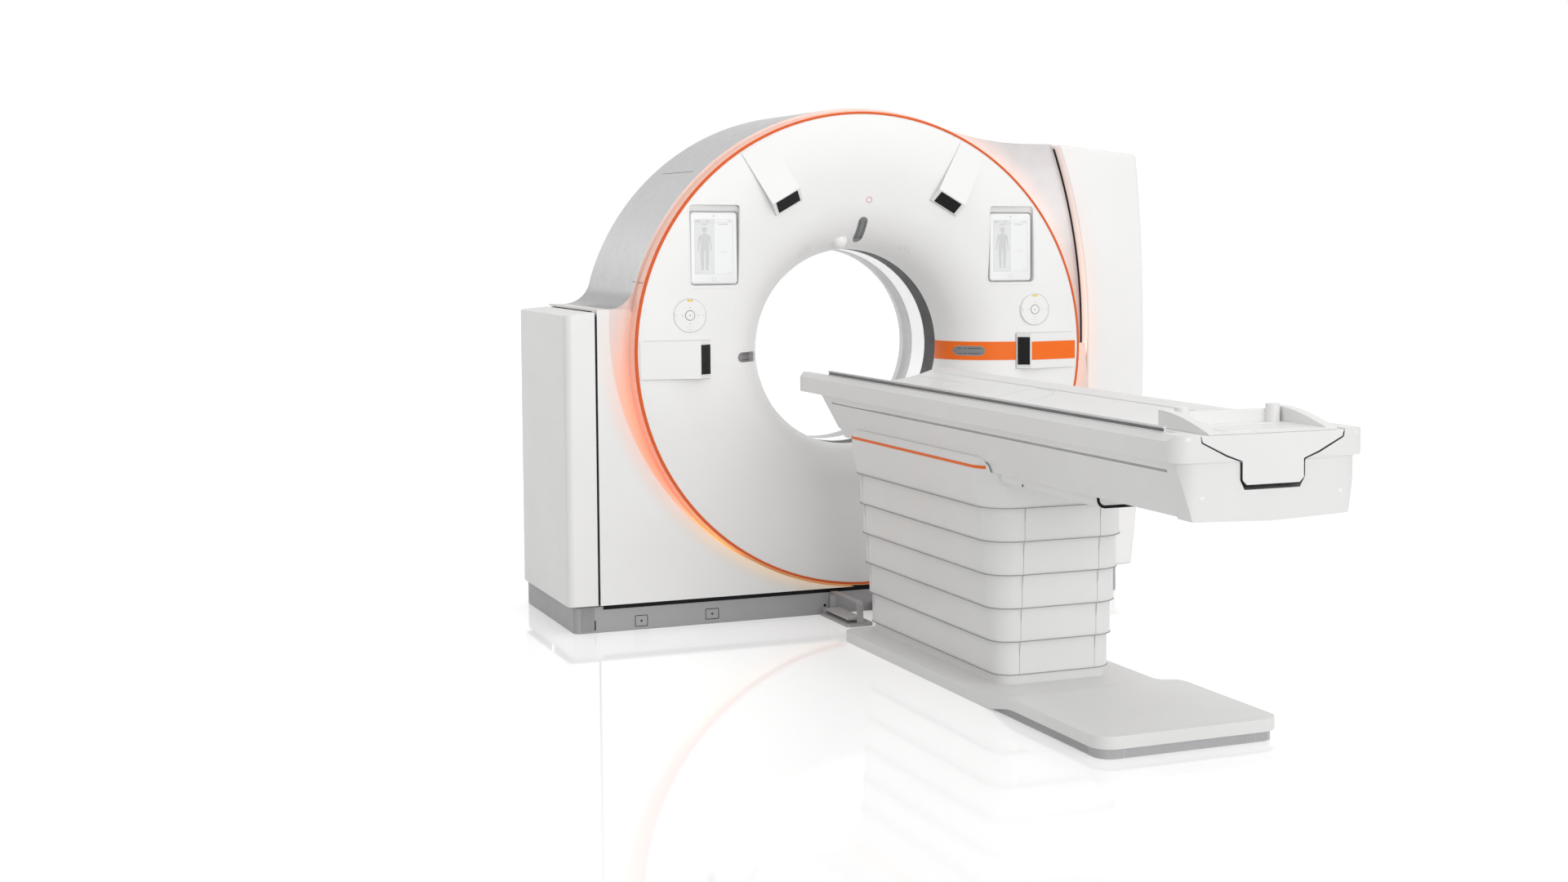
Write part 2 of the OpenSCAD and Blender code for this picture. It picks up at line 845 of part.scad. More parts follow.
tube_r = 118;
tube_nose_r = 84;
tube_nose = 40;
tube_out = 20;
module xray_tube() {
    color(silver) on_rotor(90) translate([mount_r + tube_out, 0, 0]) rotate([90, 0, 0]) {
        cylinder(r = tube_r, h = piece_len - tube_nose);
        translate([0, 0, piece_len - tube_nose]) cylinder(r1 = tube_r, r2 = tube_nose_r, h = tube_nose);
    }
}

collimator_w = 260;
collimator_h = 70;
collimator_gap = 2;
module collimator() {
    face_r = mount_r + tube_out - tube_r - collimator_gap;
    color(dark) on_rotor(90)
        translate([face_r - collimator_h, tube_nose - piece_len, -collimator_w / 2])
            cube([collimator_h, piece_len - tube_nose, collimator_w]);
}

detector_in = 100;
detector_t = 130;
detector_half = 27;
module detector() {
    reach = big * tan(detector_half);
    color(steel) placed() intersection() {
        about_bore() translate([mount_r - detector_in, rotor_y - piece_len])
            square([detector_t, piece_len]);
        translate([0, 0, iso_h]) along_y(0, rotor_y) polygon([[0, 0], [-reach, -big], [reach, -big]]);
    }
}

box_in = 120;
box_t = 250;
generator_w = 420;
cooling_w = 380;
module rotor_box(angle, w) {
    on_rotor(angle) translate([mount_r - box_in, -piece_len, -w / 2]) cube([box_t, piece_len, w]);
}
module generator() {
    color(dark) rotor_box(180, generator_w);
}
module cooling_unit() {
    color(silver) rotor_box(0, cooling_w);
}

// Floor duct for the cables from gantry to table
duct_w = 180;
duct_x = 20;
module cable_duct() {
    color(grey) placed() translate([duct_x, plate_back, 0])
        cube([duct_w, plinth_front - plate_back, base_t]);
}

// Plan of the stand, inset step by step from the widest skirt
module stand_plan(inset) {
    translate([0, stand_y]) round_rect(2 * (stand_w - inset), stand_len - 2 * inset, stand_corner - inset);
}

// Base plate that rises in a smooth step to the foot plate, with the collar of the stand
rise_len = 250;
function rise_points(low) = [for (i = [0:14])
    [plate_front - rise_len * i / 14, low + foot_rise * (1 - cos(180 * i / 14)) / 2]];
module plate_profile() {
    polygon(concat([[plate_back, 0], [plate_back, base_t]], rise_points(base_t),
        [[plate_end, base_t + foot_rise], [plate_end, foot_rise]], turned(rise_points(0))));
}

plate_corner = 70;
module plate_plan(inset) {
    len = plate_back - plate_end;
    translate([0, (plate_back + plate_end) / 2])
        round_rect(2 * (base_w - inset), len - 2 * inset, plate_corner - inset);
}

collar_h = 50;
module table_base() {
    color(white) placed() {
        intersection() {
            along_x(-base_w, 2 * base_w) plate_profile();
            linear_extrude(big) plate_plan(0);
        }
        translate([0, 0, base_t]) linear_extrude(collar_h) difference() {
            stand_plan((shell_count + 1) * shell_step);
            stand_plan((shell_count + 1) * shell_step + shell_wall);
        }
    }
}

skirt_inset = 14;
module foot_skirt() {
    color(grey) placed() intersection() {
        linear_extrude(big) plate_plan(skirt_inset);
        along_x(-base_w, 2 * base_w) difference() {
            polygon(concat(rise_points(-seat_gap), [[plate_end, foot_rise - seat_gap],
                [plate_end, -foot_rise], [plate_front, -foot_rise]]));
            translate([plate_end - big, -big]) square([3 * big, big]);
        }
    }
}

// Telescoping shell: a sleeve whose top lip glides in the next larger one
lip_t = 6;
function shell_z(i) = skirt_z - i * shell_pitch;
module shell(i) {
    inset = i * shell_step;
    color(white) placed() translate([0, 0, shell_z(i)]) {
        linear_extrude(shell_pitch + shell_lap) difference() {
            stand_plan(inset);
            stand_plan(inset + shell_wall);
        }
        translate([0, 0, shell_pitch + shell_lap - lip_t]) linear_extrude(lip_t) difference() {
            stand_plan(inset - shell_step + shell_wall + run_gap);
            stand_plan(inset + shell_wall);
        }
    }
}
module shell_1() {
    shell(1);
}
module shell_2() {
    shell(2);
}
module shell_3() {
    shell(3);
}
module shell_4() {
    shell(4);
}
module shell_5() {
    shell(shell_count);
    // Inner foot that grips the collar of the base
    color(white) placed() translate([0, 0, shell_z(shell_count)]) linear_extrude(lip_t) difference() {
        stand_plan(shell_count * shell_step + shell_wall);
        stand_plan((shell_count + 1) * shell_step - seat_gap);
    }
}

// Lifting column: three square tubes that slide in each other
module tube_plan(step) {
    square([column_w - 2 * step, column_len - 2 * step], center = true);
}

module tube(shrink, z0, z1) {
    step = shrink * (column_wall + column_gap);
    color(steel) placed() translate([0, stand_y, z0]) linear_extrude(z1 - z0) difference() {
        tube_plan(step);
        tube_plan(step + column_wall);
    }
}

// Slide pads that fill the play between two tubes, at the inner tube's foot
pad_h = 20;
module pads(shrink, z0) {
    step = shrink * (column_wall + column_gap);
    color(dark) placed() translate([0, stand_y, z0]) linear_extrude(pad_h) difference() {
        tube_plan(step - column_gap + run_gap);
        tube_plan(step);
    }
}

middle_foot = base_t + stage_travel + column_play;
inner_foot = base_t + lift_travel + column_play;
outer_top = max(ceiling_z - lift_travel - column_play, middle_foot + column_lap);
module column_outer() {
    tube(0, base_t, outer_top);
}
module column_middle() {
    tube(1, middle_foot, outer_top + stage_travel);
    pads(1, middle_foot);
}
module column_inner() {
    tube(2, inner_foot, ceiling_z);
    pads(2, inner_foot);
}

// Lift head: tapering skirt, upright band with the orange strip, sloping shoulder that holds the trough
head_flare = 20;
head_slope = 16;
band_drop = 42;
band_z = trough_z - band_drop;
strip_rise = 11;
strip_z = trough_z + strip_rise;
strip_h = 10;
strip_t = 2;
saddle_rise = 24;
saddle_z = strip_z + strip_h;
module stand_slice(z, inset) {
    translate([0, 0, z]) linear_extrude(1) stand_plan(inset, $fn = hull_fn);
}

module lift_head() {
    color(white) placed() difference() {
        union() {
            hull() {
                stand_slice(skirt_z, 0);
                stand_slice(band_z, -head_flare);
            }
            translate([0, 0, band_z]) linear_extrude(saddle_z - band_z) stand_plan(-head_flare);
            hull() {
                stand_slice(saddle_z - 1, -head_flare);
                stand_slice(saddle_z + saddle_rise, head_slope - head_flare);
            }
        }
        translate([0, 0, skirt_z - 1]) linear_extrude(ceiling_z - skirt_z + 1) stand_plan(shell_wall);
        along_y(foot_y, table_len) trough_outline(seat_gap);
    }
}

module head_strip() {
    color(orange) placed() both_sides() translate([0, 0, strip_z]) linear_extrude(strip_h) intersection() {
        difference() {
            stand_plan(-head_flare - strip_t);
            stand_plan(-head_flare - seat_gap);
        }
        translate([trough_half(strip_z + strip_h) + wall, -big]) square([big, big]);
    }
}

// Chin fairing from the lift head along the trough's underside
chin_len = 420;
chin_deep = 30;
chin_thin = 12;
chin_side = 10;
chin_r = 24;
module chin_slice(y, drop) {
    h = drop + 3 * chin_r;
    translate([0, y, trough_z - drop + h / 2]) along_y(-1, 1)
        round_rect(2 * (trough_w - chin_side), h, chin_r, $fn = hull_fn);
}

module belly_cover() {
    start = -stand_back - stand_len - head_flare - strip_t - seat_gap;
    color(white) placed() difference() {
        hull() {
            chin_slice(start, chin_deep);
            chin_slice(start - chin_len, chin_thin);
        }
        along_y(foot_y, table_len) trough_outline(seat_gap);
    }
}

// Half width of the trough at a height
function trough_half(z) =
    trough_w + (lip_w - lip_ledge - trough_w) * (z - trough_z) / (lip_bottom - trough_z);

// Half outlines (x, z) of trough and cradle
module trough_outline(grow) {
    both_halves([[0, trough_z - grow], [trough_w + grow, trough_z - grow],
        [lip_w - lip_ledge + grow, lip_bottom],
        [lip_w - lip_ledge + grow, top_h], [0, top_h]]);
}

// Closes a right-hand half outline with its mirror image
module both_halves(points) {
    left = [for (i = [len(points) - 1:-1:0]) if (points[i].x > 0) [-points[i].x, points[i].y]];
    polygon(concat(points, left));
}

// Half outline of the cradle; c opens it into the pocket that the cradle slides in
cradle_edge = 19;
cradle_lean = 5;
function cradle_points(c, top) =
    let (low = c > 0 ? pocket_floor : keel_z)
    [[0, top], [cradle_w + c, top], [cradle_w + c - cradle_lean, top_h - cradle_edge - c / 2],
        [notch_w + c / 2, notch_z - c], [keel_w + c, keel_top - c / 2], [keel_w + c, keel_z + keel_bevel],
        [keel_w - keel_bevel + c, low], [0, low]];

// Height of the dished lying surface at a distance from the middle
function dish_z(x) = top_h - dish_depth + dish_r - sqrt(dish_r * dish_r - x * x);

// Outside of the trough: stepped pan, leaning side, lip that falls off towards the cradle
pan_h = 34;
pan_step = 5;
module lip_outline(drop) {
    pan_z = trough_z + pan_h;
    both_halves([[0, trough_z], [trough_w - pan_step, trough_z], [trough_half(pan_z) - pan_step, pan_z],
        [trough_half(pan_z), pan_z], [lip_w - lip_ledge, lip_bottom], [lip_w, lip_bottom],
        [lip_w, lip_bottom + lip_h], [lip_w - lip_bevel, lip_top], [lip_w - lip_flat, lip_top],
        [cradle_w, top_h - drop], [0, top_h - drop]]);
}

skin_wall = 6;
hollow_side = 34;
keel_wall = 12;
module frame_outline() {
    difference() {
        lip_outline(top_h - dish_z(cradle_w));
        both_halves(cradle_points(cradle_gap, lip_top + wall));
        both_halves([[0, trough_z + skin_wall], [trough_w - pan_step - skin_wall - 2, trough_z + skin_wall],
            [lip_w - hollow_side, lip_bottom - skin_wall], [keel_w + keel_wall, lip_bottom - 2 * skin_wall],
            [keel_w + keel_wall, pocket_floor - skin_wall], [0, pocket_floor - skin_wall]]);
    }
}

slit_drop = 33;
slit_z = lip_bottom - slit_drop;
slit_h = 7;
slit_depth = 20;
head_run = 181;
head_lean = 144;
module table_frame() {
    frame_end = foot_y + cap_t;
    slope_foot = head_y - head_run - head_lean;
    color(white) placed() difference() {
        along_y(frame_end, head_y - frame_end) frame_outline();
        // Sloping head end below the lips
        along_x(-lip_w - wall, 2 * (lip_w + wall)) polygon([[head_y - head_run, lip_bottom],
            [slope_foot, trough_z - 1], [head_y + 1, trough_z - 1], [head_y + 1, lip_bottom]]);
        // Accessory slit along each side
        both_sides() translate([trough_half(slit_z) - slit_depth / 2, frame_end - 1, slit_z])
            cube([slit_depth, rail_start - frame_end, slit_h]);
    }
}

// Foot-end cap: the frame's outline with its corners rounded in plan
cap_corner = 62;
cap_belly = 14;
module cap_plan(w) {
    translate([0, foot_y + table_len / 2]) round_rect(2 * w, table_len, cap_corner);
}

module end_cap() {
    color(white) placed() difference() {
        along_y(foot_y, cap_t - seat_gap) difference() {
            both_halves([[0, trough_z - cap_belly], [trough_w, trough_z - cap_belly / 3],
                [lip_w - lip_ledge, lip_bottom], [lip_w, lip_bottom], [lip_w, lip_bottom + lip_h],
                [lip_w - lip_bevel, lip_top], [0, lip_top]]);
            both_halves(cradle_points(cradle_gap, lip_top + wall));
        }
        difference() {
            translate([-lip_w - wall, foot_y - wall, lip_bottom])
                cube([2 * (lip_w + wall), cap_t + wall, big]);
            linear_extrude(big) cap_plan(lip_w);
        }
        difference() {
            translate([-lip_w - wall, foot_y - wall, 0])
                cube([2 * (lip_w + wall), cap_t + wall, lip_bottom]);
            linear_extrude(big) cap_plan(lip_w - lip_ledge);
        }
    }
}

// Accessory rail on the side that the operator stands at
rail_flange = 5;
module side_rails() {
    start = foot_y + cap_t;
    color(grey) placed() along_y(start, rail_start - start) translate([-rail_x - rail_w / 2, lip_top]) {
        square([rail_w, rail_flange]);
        translate([rail_w / 4, 0]) square([rail_w / 2, rail_h]);
        translate([0, rail_h - rail_flange]) square([rail_w, rail_flange]);
    }
}

guide_w = 20;
module guide_rails() {
    start = foot_y + cap_t;
    color(steel) placed() both_sides() along_y(start, head_y - head_run - head_lean - start)
        translate([keel_w / 2, pocket_floor]) square([guide_w, keel_z - pocket_floor - run_gap]);
}

drive_size = [180, 240, 56];
drive_setback = 260;
module feed_drive() {
    drive_y = -stand_back - stand_len - drive_setback;
    color(dark) placed() translate([-drive_size.x / 2, drive_y, trough_z + skin_wall]) cube(drive_size);
}

dish_start = 30;
module cradle() {
    color(white) placed() difference() {
        along_y(foot_y, table_len) both_halves(cradle_points(0, top_h));
        along_y(foot_y + tray_len + dish_start, table_len)
            translate([0, top_h + dish_r - dish_depth]) circle(dish_r, $fn = 720);
    }
}

peg_r = 22;
peg_rise = 8;
peg_in = 60;
peg_back = 34;
tray_floor = 6;
tray_side = 34;
tray_back = 24;
function tray_edge(i) =
    [foot_y + tray_len * i / 12, top_h + tray_floor + (tray_h - tray_floor) * sin(90 * i / 12)];
module foot_tray() {
    color(white) placed() {
        translate([-tray_w, foot_y, top_h]) cube([2 * tray_w, tray_len, tray_floor]);
        both_sides() along_x(tray_w - tray_side, tray_side)
            polygon(concat([for (i = [0:12]) tray_edge(i)], [[foot_y + tray_len, top_h], [foot_y, top_h]]));
        translate([-tray_w, foot_y + tray_len - tray_back, top_h])
            cube([2 * tray_w, tray_back, tray_h - peg_rise]);
        both_sides() translate([tray_w - peg_in, foot_y + tray_len - peg_back, top_h])
            cylinder(r = peg_r, h = tray_h + peg_rise);
    }
}

// Foot switch: plate against the plinth, arched guard strap and a sprung pedal on a pin between two lugs
switch_x = -100;
switch_t = 12;
switch_corner = 16;
guard_x = -142;
guard_corner = 24;
guard_edge = 6;
lug_t = 8;
lug_h = 22;
pin_d = 6;
pedal_t = 10;
pedal_rise = 10;
pedal_side = 18;
pedal_setback = 36;
pedal_w = switch_w - 2 * lug_t - 2 * pedal_side;
pedal_x = switch_x - switch_w + 2 * lug_t;
pedal_y = plinth_front - pedal_setback;
pedal_z = switch_t + pedal_rise;
pedal_front = plinth_front - switch_len + pedal_setback;
pin_z = pedal_z + pedal_t / 2;
module guard_arch(inset) {
    len = switch_len - 2 * guard_edge - 2 * inset;
    top = guard_h - inset;
    r = guard_corner - inset;
    translate([plinth_front - switch_len / 2, 0]) {
        translate([-len / 2, 0]) square([len, top - r]);
        translate([r - len / 2, 0]) square([len - 2 * r, top]);
        for (s = [-1, 1]) translate([s * (len / 2 - r), top - r]) circle(r);
    }
}

module foot_switch() {
    color(grey) placed() difference() {
        union() {
            translate([switch_x - switch_w / 2, plinth_front - switch_len / 2, 0]) linear_extrude(switch_t)
                round_rect(switch_w, switch_len - 2 * seat_gap, switch_corner);
            along_x(guard_x - guard_w, guard_w) difference() {
                guard_arch(0);
                guard_arch(guard_t);
            }
            for (x = [pedal_x - run_gap - lug_t, pedal_x + pedal_w + run_gap])
                translate([x, pedal_y - lug_t, 0]) cube([lug_t, 2 * lug_t, switch_t + lug_h]);
        }
        translate([switch_x - switch_w, pedal_y, pin_z]) rotate([0, 90, 0])
            cylinder(d = pin_d + 2 * run_gap, h = 2 * switch_w);
    }
}

module switch_pedal() {
    color(white) placed() {
        translate([pedal_x, pedal_front, pedal_z]) cube([pedal_w, pedal_y - pedal_front, pedal_t]);
        translate([pedal_x, pedal_y, pin_z]) rotate([0, 90, 0]) cylinder(d = pedal_t, h = pedal_w);
        translate([pedal_x - run_gap - lug_t, pedal_y, pin_z]) rotate([0, 90, 0])
            cylinder(d = pin_d, h = pedal_w + 2 * run_gap + 2 * lug_t);
    }
}

plinth();
gantry_frame();
bearing_fixed_ring();
motor_coils();
brush_block();
front_cover();
scan_window();
bore_liner();
rear_cover();
arch_hood();
left_tower_cover();
right_tower_cover();
left_front_panel();
right_front_panel();
rear_panel();
light_ring();
halo_band();
upper_pod_left();
upper_pod_right();
side_pod_left();
side_pod_right();
pod_windows();
tablet_docks();
tablets();
dial_panels();
dial_button_left();
dial_button_right();
laser_windows();
orange_band();
rotor_frame();
bearing_rotor_ring();
slip_ring();
xray_tube();
collimator();
detector();
generator();
cooling_unit();
cable_duct();
table_base();
foot_skirt();
shell_1();
shell_2();
shell_3();
shell_4();
shell_5();
column_outer();
column_middle();
column_inner();
lift_head();
head_strip();
belly_cover();
table_frame();
end_cap();
side_rails();
guide_rails();
feed_drive();
cradle();
foot_tray();
foot_switch();
switch_pedal();
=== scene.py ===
# %% [markdown]
# # A CT scanner, dressed in Blender
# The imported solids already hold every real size: the ring-shaped gantry, the lift stand and the table.
# This notebook gives them light, a camera and finishes, softens the edges that a mould would never
# leave sharp, and adds the small fittings that are too fine for the solids. Everything is in metres,
# with the floor at Z 0, the scan plane at Y 0 and the table on the -Y side.

# %% Load the solids
import json
import math

import bmesh
import bpy
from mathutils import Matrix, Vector
from mathutils.bvhtree import BVHTree

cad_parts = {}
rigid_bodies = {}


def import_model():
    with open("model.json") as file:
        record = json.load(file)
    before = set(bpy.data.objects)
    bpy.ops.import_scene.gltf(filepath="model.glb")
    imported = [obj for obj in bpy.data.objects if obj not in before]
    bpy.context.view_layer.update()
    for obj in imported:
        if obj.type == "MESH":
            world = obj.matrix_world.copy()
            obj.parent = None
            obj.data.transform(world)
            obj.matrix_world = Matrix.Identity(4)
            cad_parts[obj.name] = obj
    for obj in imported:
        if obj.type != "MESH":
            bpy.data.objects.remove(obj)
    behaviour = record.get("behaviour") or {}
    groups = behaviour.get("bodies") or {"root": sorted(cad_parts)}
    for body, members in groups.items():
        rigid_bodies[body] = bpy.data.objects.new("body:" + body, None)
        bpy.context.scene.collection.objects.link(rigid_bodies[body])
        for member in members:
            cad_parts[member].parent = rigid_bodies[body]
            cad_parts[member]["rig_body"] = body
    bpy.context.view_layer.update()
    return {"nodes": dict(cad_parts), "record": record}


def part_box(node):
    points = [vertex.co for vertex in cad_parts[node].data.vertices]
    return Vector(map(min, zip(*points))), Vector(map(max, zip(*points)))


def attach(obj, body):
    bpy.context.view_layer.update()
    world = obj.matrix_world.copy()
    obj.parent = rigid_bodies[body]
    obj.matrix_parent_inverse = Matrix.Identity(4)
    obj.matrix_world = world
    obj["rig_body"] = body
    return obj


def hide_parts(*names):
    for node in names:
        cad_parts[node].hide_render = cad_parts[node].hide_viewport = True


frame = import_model()
nodes = frame["nodes"]
slot_of = {row["node"]: row["material_slot"] for row in frame["record"]["subparts"]}
body_of = {name: obj["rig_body"] for name, obj in nodes.items()}

# %% [markdown]
# ## Camera
# The photograph was taken from the front left, a little above the tabletop. The lens is a mild
# telephoto, and the object sits right of the middle, so the camera is shifted instead of turned:
# a shift keeps the uprights parallel, as they are in the picture.

# %% Place the camera
EYE = Vector((-3.2464, -8.6694, 1.5791))
YAW = 0.4598
PITCH = 0.0631
lens = bpy.data.cameras.new("photo_camera")
lens.lens = 49.84
lens.sensor_width = 36.0
lens.shift_x = -0.1771
lens.shift_y = -0.0469
camera = bpy.data.objects.new("photo_camera", lens)
camera.location = EYE
camera.rotation_euler = (math.pi / 2 - PITCH, 0.0, -YAW)
bpy.context.scene.collection.objects.link(camera)
bpy.context.scene.camera = camera
bpy.context.scene.view_settings.view_transform = "Standard"
print("camera", [round(v, 3) for v in camera.location], "lens", lens.lens)

# %% [markdown]
# ## Node helpers
# Finishes are built from a few nodes that come back again and again: a noise for uneven gloss, a bump
# for the moulded skin, a ramp for a change of colour over a distance. Small helpers keep each finish
# short, so that the part that makes it special stays in view.

# %% Helpers for materials
def new_material(name):
    material = bpy.data.materials.new(name)
    material.use_nodes = True
    tree = material.node_tree
    return material, tree, tree.nodes["Principled BSDF"]


def add(tree, kind, **values):
    node = tree.nodes.new(kind)
    for key, value in values.items():
        if key in node.inputs:
            node.inputs[key].default_value = value
        else:
            setattr(node, key, value)
    return node


def noise(tree, scale, detail=2.0):
    place = add(tree, "ShaderNodeTexCoord")
    node = add(tree, "ShaderNodeTexNoise", Scale=scale, Detail=detail)
    tree.links.new(place.outputs["Object"], node.inputs["Vector"])
    return node.outputs["Fac"]


def ramp(tree, source, stops):
    node = add(tree, "ShaderNodeValToRGB")
    elements = node.color_ramp.elements
    while len(elements) < len(stops):
        elements.new(0.5)
    for element, (place, colour) in zip(elements, stops):
        element.position = place
        element.color = (*colour, 1.0)
    tree.links.new(source, node.inputs["Fac"])
    return node.outputs["Color"]


def math_node(tree, operation, *values):
    node = add(tree, "ShaderNodeMath", operation=operation)
    for socket, value in zip(node.inputs, values):
        if isinstance(value, (int, float)):
            socket.default_value = value
        else:
            tree.links.new(value, socket)
    return node.outputs[0]


def mix_colour(tree, factor, first, second):
    node = add(tree, "ShaderNodeMix", data_type="RGBA")
    sockets = [s for s in node.inputs if s.type == "RGBA"]
    for socket, value in zip(sockets, (first, second)):
        if isinstance(value, tuple):
            socket.default_value = (*value, 1.0)
        else:
            tree.links.new(value, socket)
    tree.links.new(factor, node.inputs["Factor"])
    return [s for s in node.outputs if s.type == "RGBA"][0]


def grey(value):
    return (value, value, value)


print("material helpers ready")

# %% [markdown]
# ## Distances inside a material
# The scanner glows around its front disc, and that glow fades with the distance from a circle. Every
# solid sits at the world origin, so its object coordinates are real metres, and a material can measure
# from the bore axis. That is safer than painting, because it needs no unwrapping.

# %% Measure inside a material
def position(tree):
    place = add(tree, "ShaderNodeTexCoord")
    split = add(tree, "ShaderNodeSeparateXYZ")
    tree.links.new(place.outputs["Object"], split.inputs["Vector"])
    return split.outputs


def distance_from_axis(tree, x, z):
    here = position(tree)
    across = math_node(tree, "POWER", math_node(tree, "SUBTRACT", here["X"], x), 2.0)
    up = math_node(tree, "POWER", math_node(tree, "SUBTRACT", here["Z"], z), 2.0)
    return math_node(tree, "SQRT", math_node(tree, "ADD", across, up))


def fade(tree, value, start, end, low=0.0, high=1.0):
    node = add(tree, "ShaderNodeMapRange", interpolation_type="SMOOTHSTEP")
    tree.links.new(value, node.inputs["Value"])
    for name, number in (("From Min", start), ("From Max", end), ("To Min", low), ("To Max", high)):
        node.inputs[name].default_value = number
    return node.outputs["Result"]


ISO = 1.090
FRONT = -0.315
BORE_RADIUS = 0.410
COVE_RADIUS = 1.077
COVE_HEIGHT = ISO + 0.108
TOWER_EDGE_R = 2.350
TOWER_EDGE_X = 1.030 - TOWER_EDGE_R
TOWER_EDGE_Z = ISO + 0.060
print("bore axis at height", ISO, "front plane at", FRONT)

# %% [markdown]
# ## Moulded skins
# Nearly everything is painted or moulded plastic. A perfect white would look like paper, so each skin has a
# faint cloudiness in its colour, an uneven gloss and a very fine orange-peel bump. A skin may also take a
# glow: a function that returns how strongly the hidden lamps reach each point. It may also take painted
# shade: a function that returns where its colour is darkened towards half, so that shade and highlight are
# painted into it.

# %% A general moulded skin
def moulded(name, colour, rough, coat=0.0, metal=0.0, peel=700.0, cloud=0.03, shine=0.5,
            glow=None, painted_shade=None):
    material, tree, shader = new_material(name)
    low = tuple(max(0.0, c * (1.0 - cloud)) for c in colour)
    high = tuple(min(1.0, c * (1.0 + cloud * 0.4)) for c in colour)
    skin = ramp(tree, noise(tree, 2.3, 3.0), [(0.3, low), (0.7, high)])
    gloss = ramp(tree, noise(tree, 24.0), [(0.3, grey(rough - 0.04)), (0.7, grey(rough + 0.05))])
    tree.links.new(gloss, shader.inputs["Roughness"])
    bump = add(tree, "ShaderNodeBump", Strength=0.25, Distance=0.0004)
    tree.links.new(noise(tree, peel), bump.inputs["Height"])
    tree.links.new(bump.outputs["Normal"], shader.inputs["Normal"])
    shader.inputs["Metallic"].default_value = metal
    shader.inputs["Coat Weight"].default_value = coat
    shader.inputs["Specular IOR Level"].default_value = shine
    # Painted shade: the colour is darkened towards half where the given function says, standing in for shade.
    if painted_shade:
        skin = mix_colour(tree, painted_shade(tree), skin, tuple(c * 0.52 for c in colour))
    if glow:
        reach, tint, strength = glow(tree)
        skin = mix_colour(tree, reach, skin, tint)
        tree.links.new(mix_colour(tree, reach, (0.0, 0.0, 0.0), tint), shader.inputs["Emission Color"])
        tree.links.new(math_node(tree, "MULTIPLY", reach, strength), shader.inputs["Emission Strength"])
    tree.links.new(skin, shader.inputs["Base Color"])
    return material


WHITE = (0.86, 0.857, 0.848)
FINE_PEEL = 1400.0
finishes = {
    "white_cover": moulded("white_cover_skin", WHITE, 0.40, coat=0.10),
    "silver_cover": moulded("silver_cover_paint", (0.46, 0.46, 0.465), 0.34, coat=0.2, metal=0.5,
                            peel=FINE_PEEL),
    "grey_base": moulded("grey_base_skin", (0.40, 0.40, 0.41), 0.45),
    "light": moulded("light_ring_diffuser", (0.72, 0.115, 0.018), 0.5, shine=0.25),
    "orange": moulded("orange_trim_paint", (0.90, 0.155, 0.006), 0.42, shine=0.3),
    "dark_window": moulded("dark_window_film", (0.085, 0.085, 0.088), 0.5, shine=0.2),
    "black_window": moulded("black_window_glass", (0.010, 0.010, 0.010), 0.25, shine=0.18),
    "tablet": moulded("tablet_shell", (0.84, 0.845, 0.85), 0.22, coat=0.3),
    "laser_glass": moulded("laser_glass_smoked", (0.20, 0.205, 0.21), 0.15, coat=0.4),
    "steel_frame": moulded("frame_paint", (0.20, 0.21, 0.23), 0.5),
    "bearing": moulded("ground_steel", (0.50, 0.50, 0.51), 0.28, metal=1.0),
    "coil": moulded("copper_winding", (0.60, 0.27, 0.11), 0.4, metal=1.0),
    "dark_block": moulded("dark_block_skin", (0.014, 0.014, 0.015), 0.7, shine=0.1),
    "tube_housing": moulded("cast_housing", (0.50, 0.51, 0.52), 0.42, metal=0.8),
    "column": moulded("column_paint", (0.10, 0.105, 0.11), 0.45),
    "rail": moulded("rail_anodised", (0.52, 0.522, 0.525), 0.38, metal=0.7),
    "cradle_top": moulded("cradle_skin", (0.88, 0.878, 0.87), 0.42, coat=0.1),
    "switch_metal": moulded("switch_paint", (0.46, 0.455, 0.455), 0.4, metal=0.3),
}
print("finishes:", len(finishes))

# %% [markdown]
# ## The glow around the disc
# Lamps behind the disc's rim wash the hollow beside it and fade out over the panels. Real lamps would
# fight with the studio light, so the glow is part of these skins: warm near the hollow, and yellower
# low down, where the hollow is narrow and the light is caught.

# %% Skins that catch the glow
def warm_by_height(tree):
    low_down = fade(tree, position(tree)["Z"], 0.55, 0.20)
    return mix_colour(tree, low_down, (1.0, 0.50, 0.35), (1.0, 0.62, 0.24))


def panel_glow(tree):
    here = position(tree)
    edge = distance_from_axis(tree, 0.0, COVE_HEIGHT)
    ring = distance_from_axis(tree, 0.0, ISO)
    by_height = fade(tree, here["Z"], 1.28, 0.80, 0.22, 1.0)
    on_face = fade(tree, edge, COVE_RADIUS + 0.080, COVE_RADIUS, 0.0, 0.36)
    hollow = fade(tree, ring, 1.09, 0.98, 0.30, 0.62)
    inside = fade(tree, edge, COVE_RADIUS + 0.002, COVE_RADIUS - 0.006)
    reach = math_node(tree, "ADD", on_face, math_node(tree, "MULTIPLY", hollow, inside))
    strength = fade(tree, here["Z"], 0.70, 0.20, 0.36, 0.95)
    return math_node(tree, "MULTIPLY", reach, by_height), warm_by_height(tree), strength


def right_panel_glow(tree):
    ring = distance_from_axis(tree, 0.0, ISO)
    return fade(tree, ring, 1.06, 0.98, 0.25, 0.50), (1.0, 0.76, 0.66), 0.55


def halo_glow(tree):
    radius = distance_from_axis(tree, 0.0, ISO)
    return fade(tree, radius, 0.990, 0.975, 0.35, 0.62), warm_by_height(tree), 0.25


def hood_glow(tree):
    here = position(tree)
    radius = distance_from_axis(tree, 0.0, ISO)
    near_ring = fade(tree, radius, 1.08, 0.97, 0.05, 0.42)
    front_face = fade(tree, here["Y"], FRONT + 0.090, FRONT + 0.082)
    return math_node(tree, "MULTIPLY", near_ring, front_face), (1.0, 0.62, 0.50), 0.16


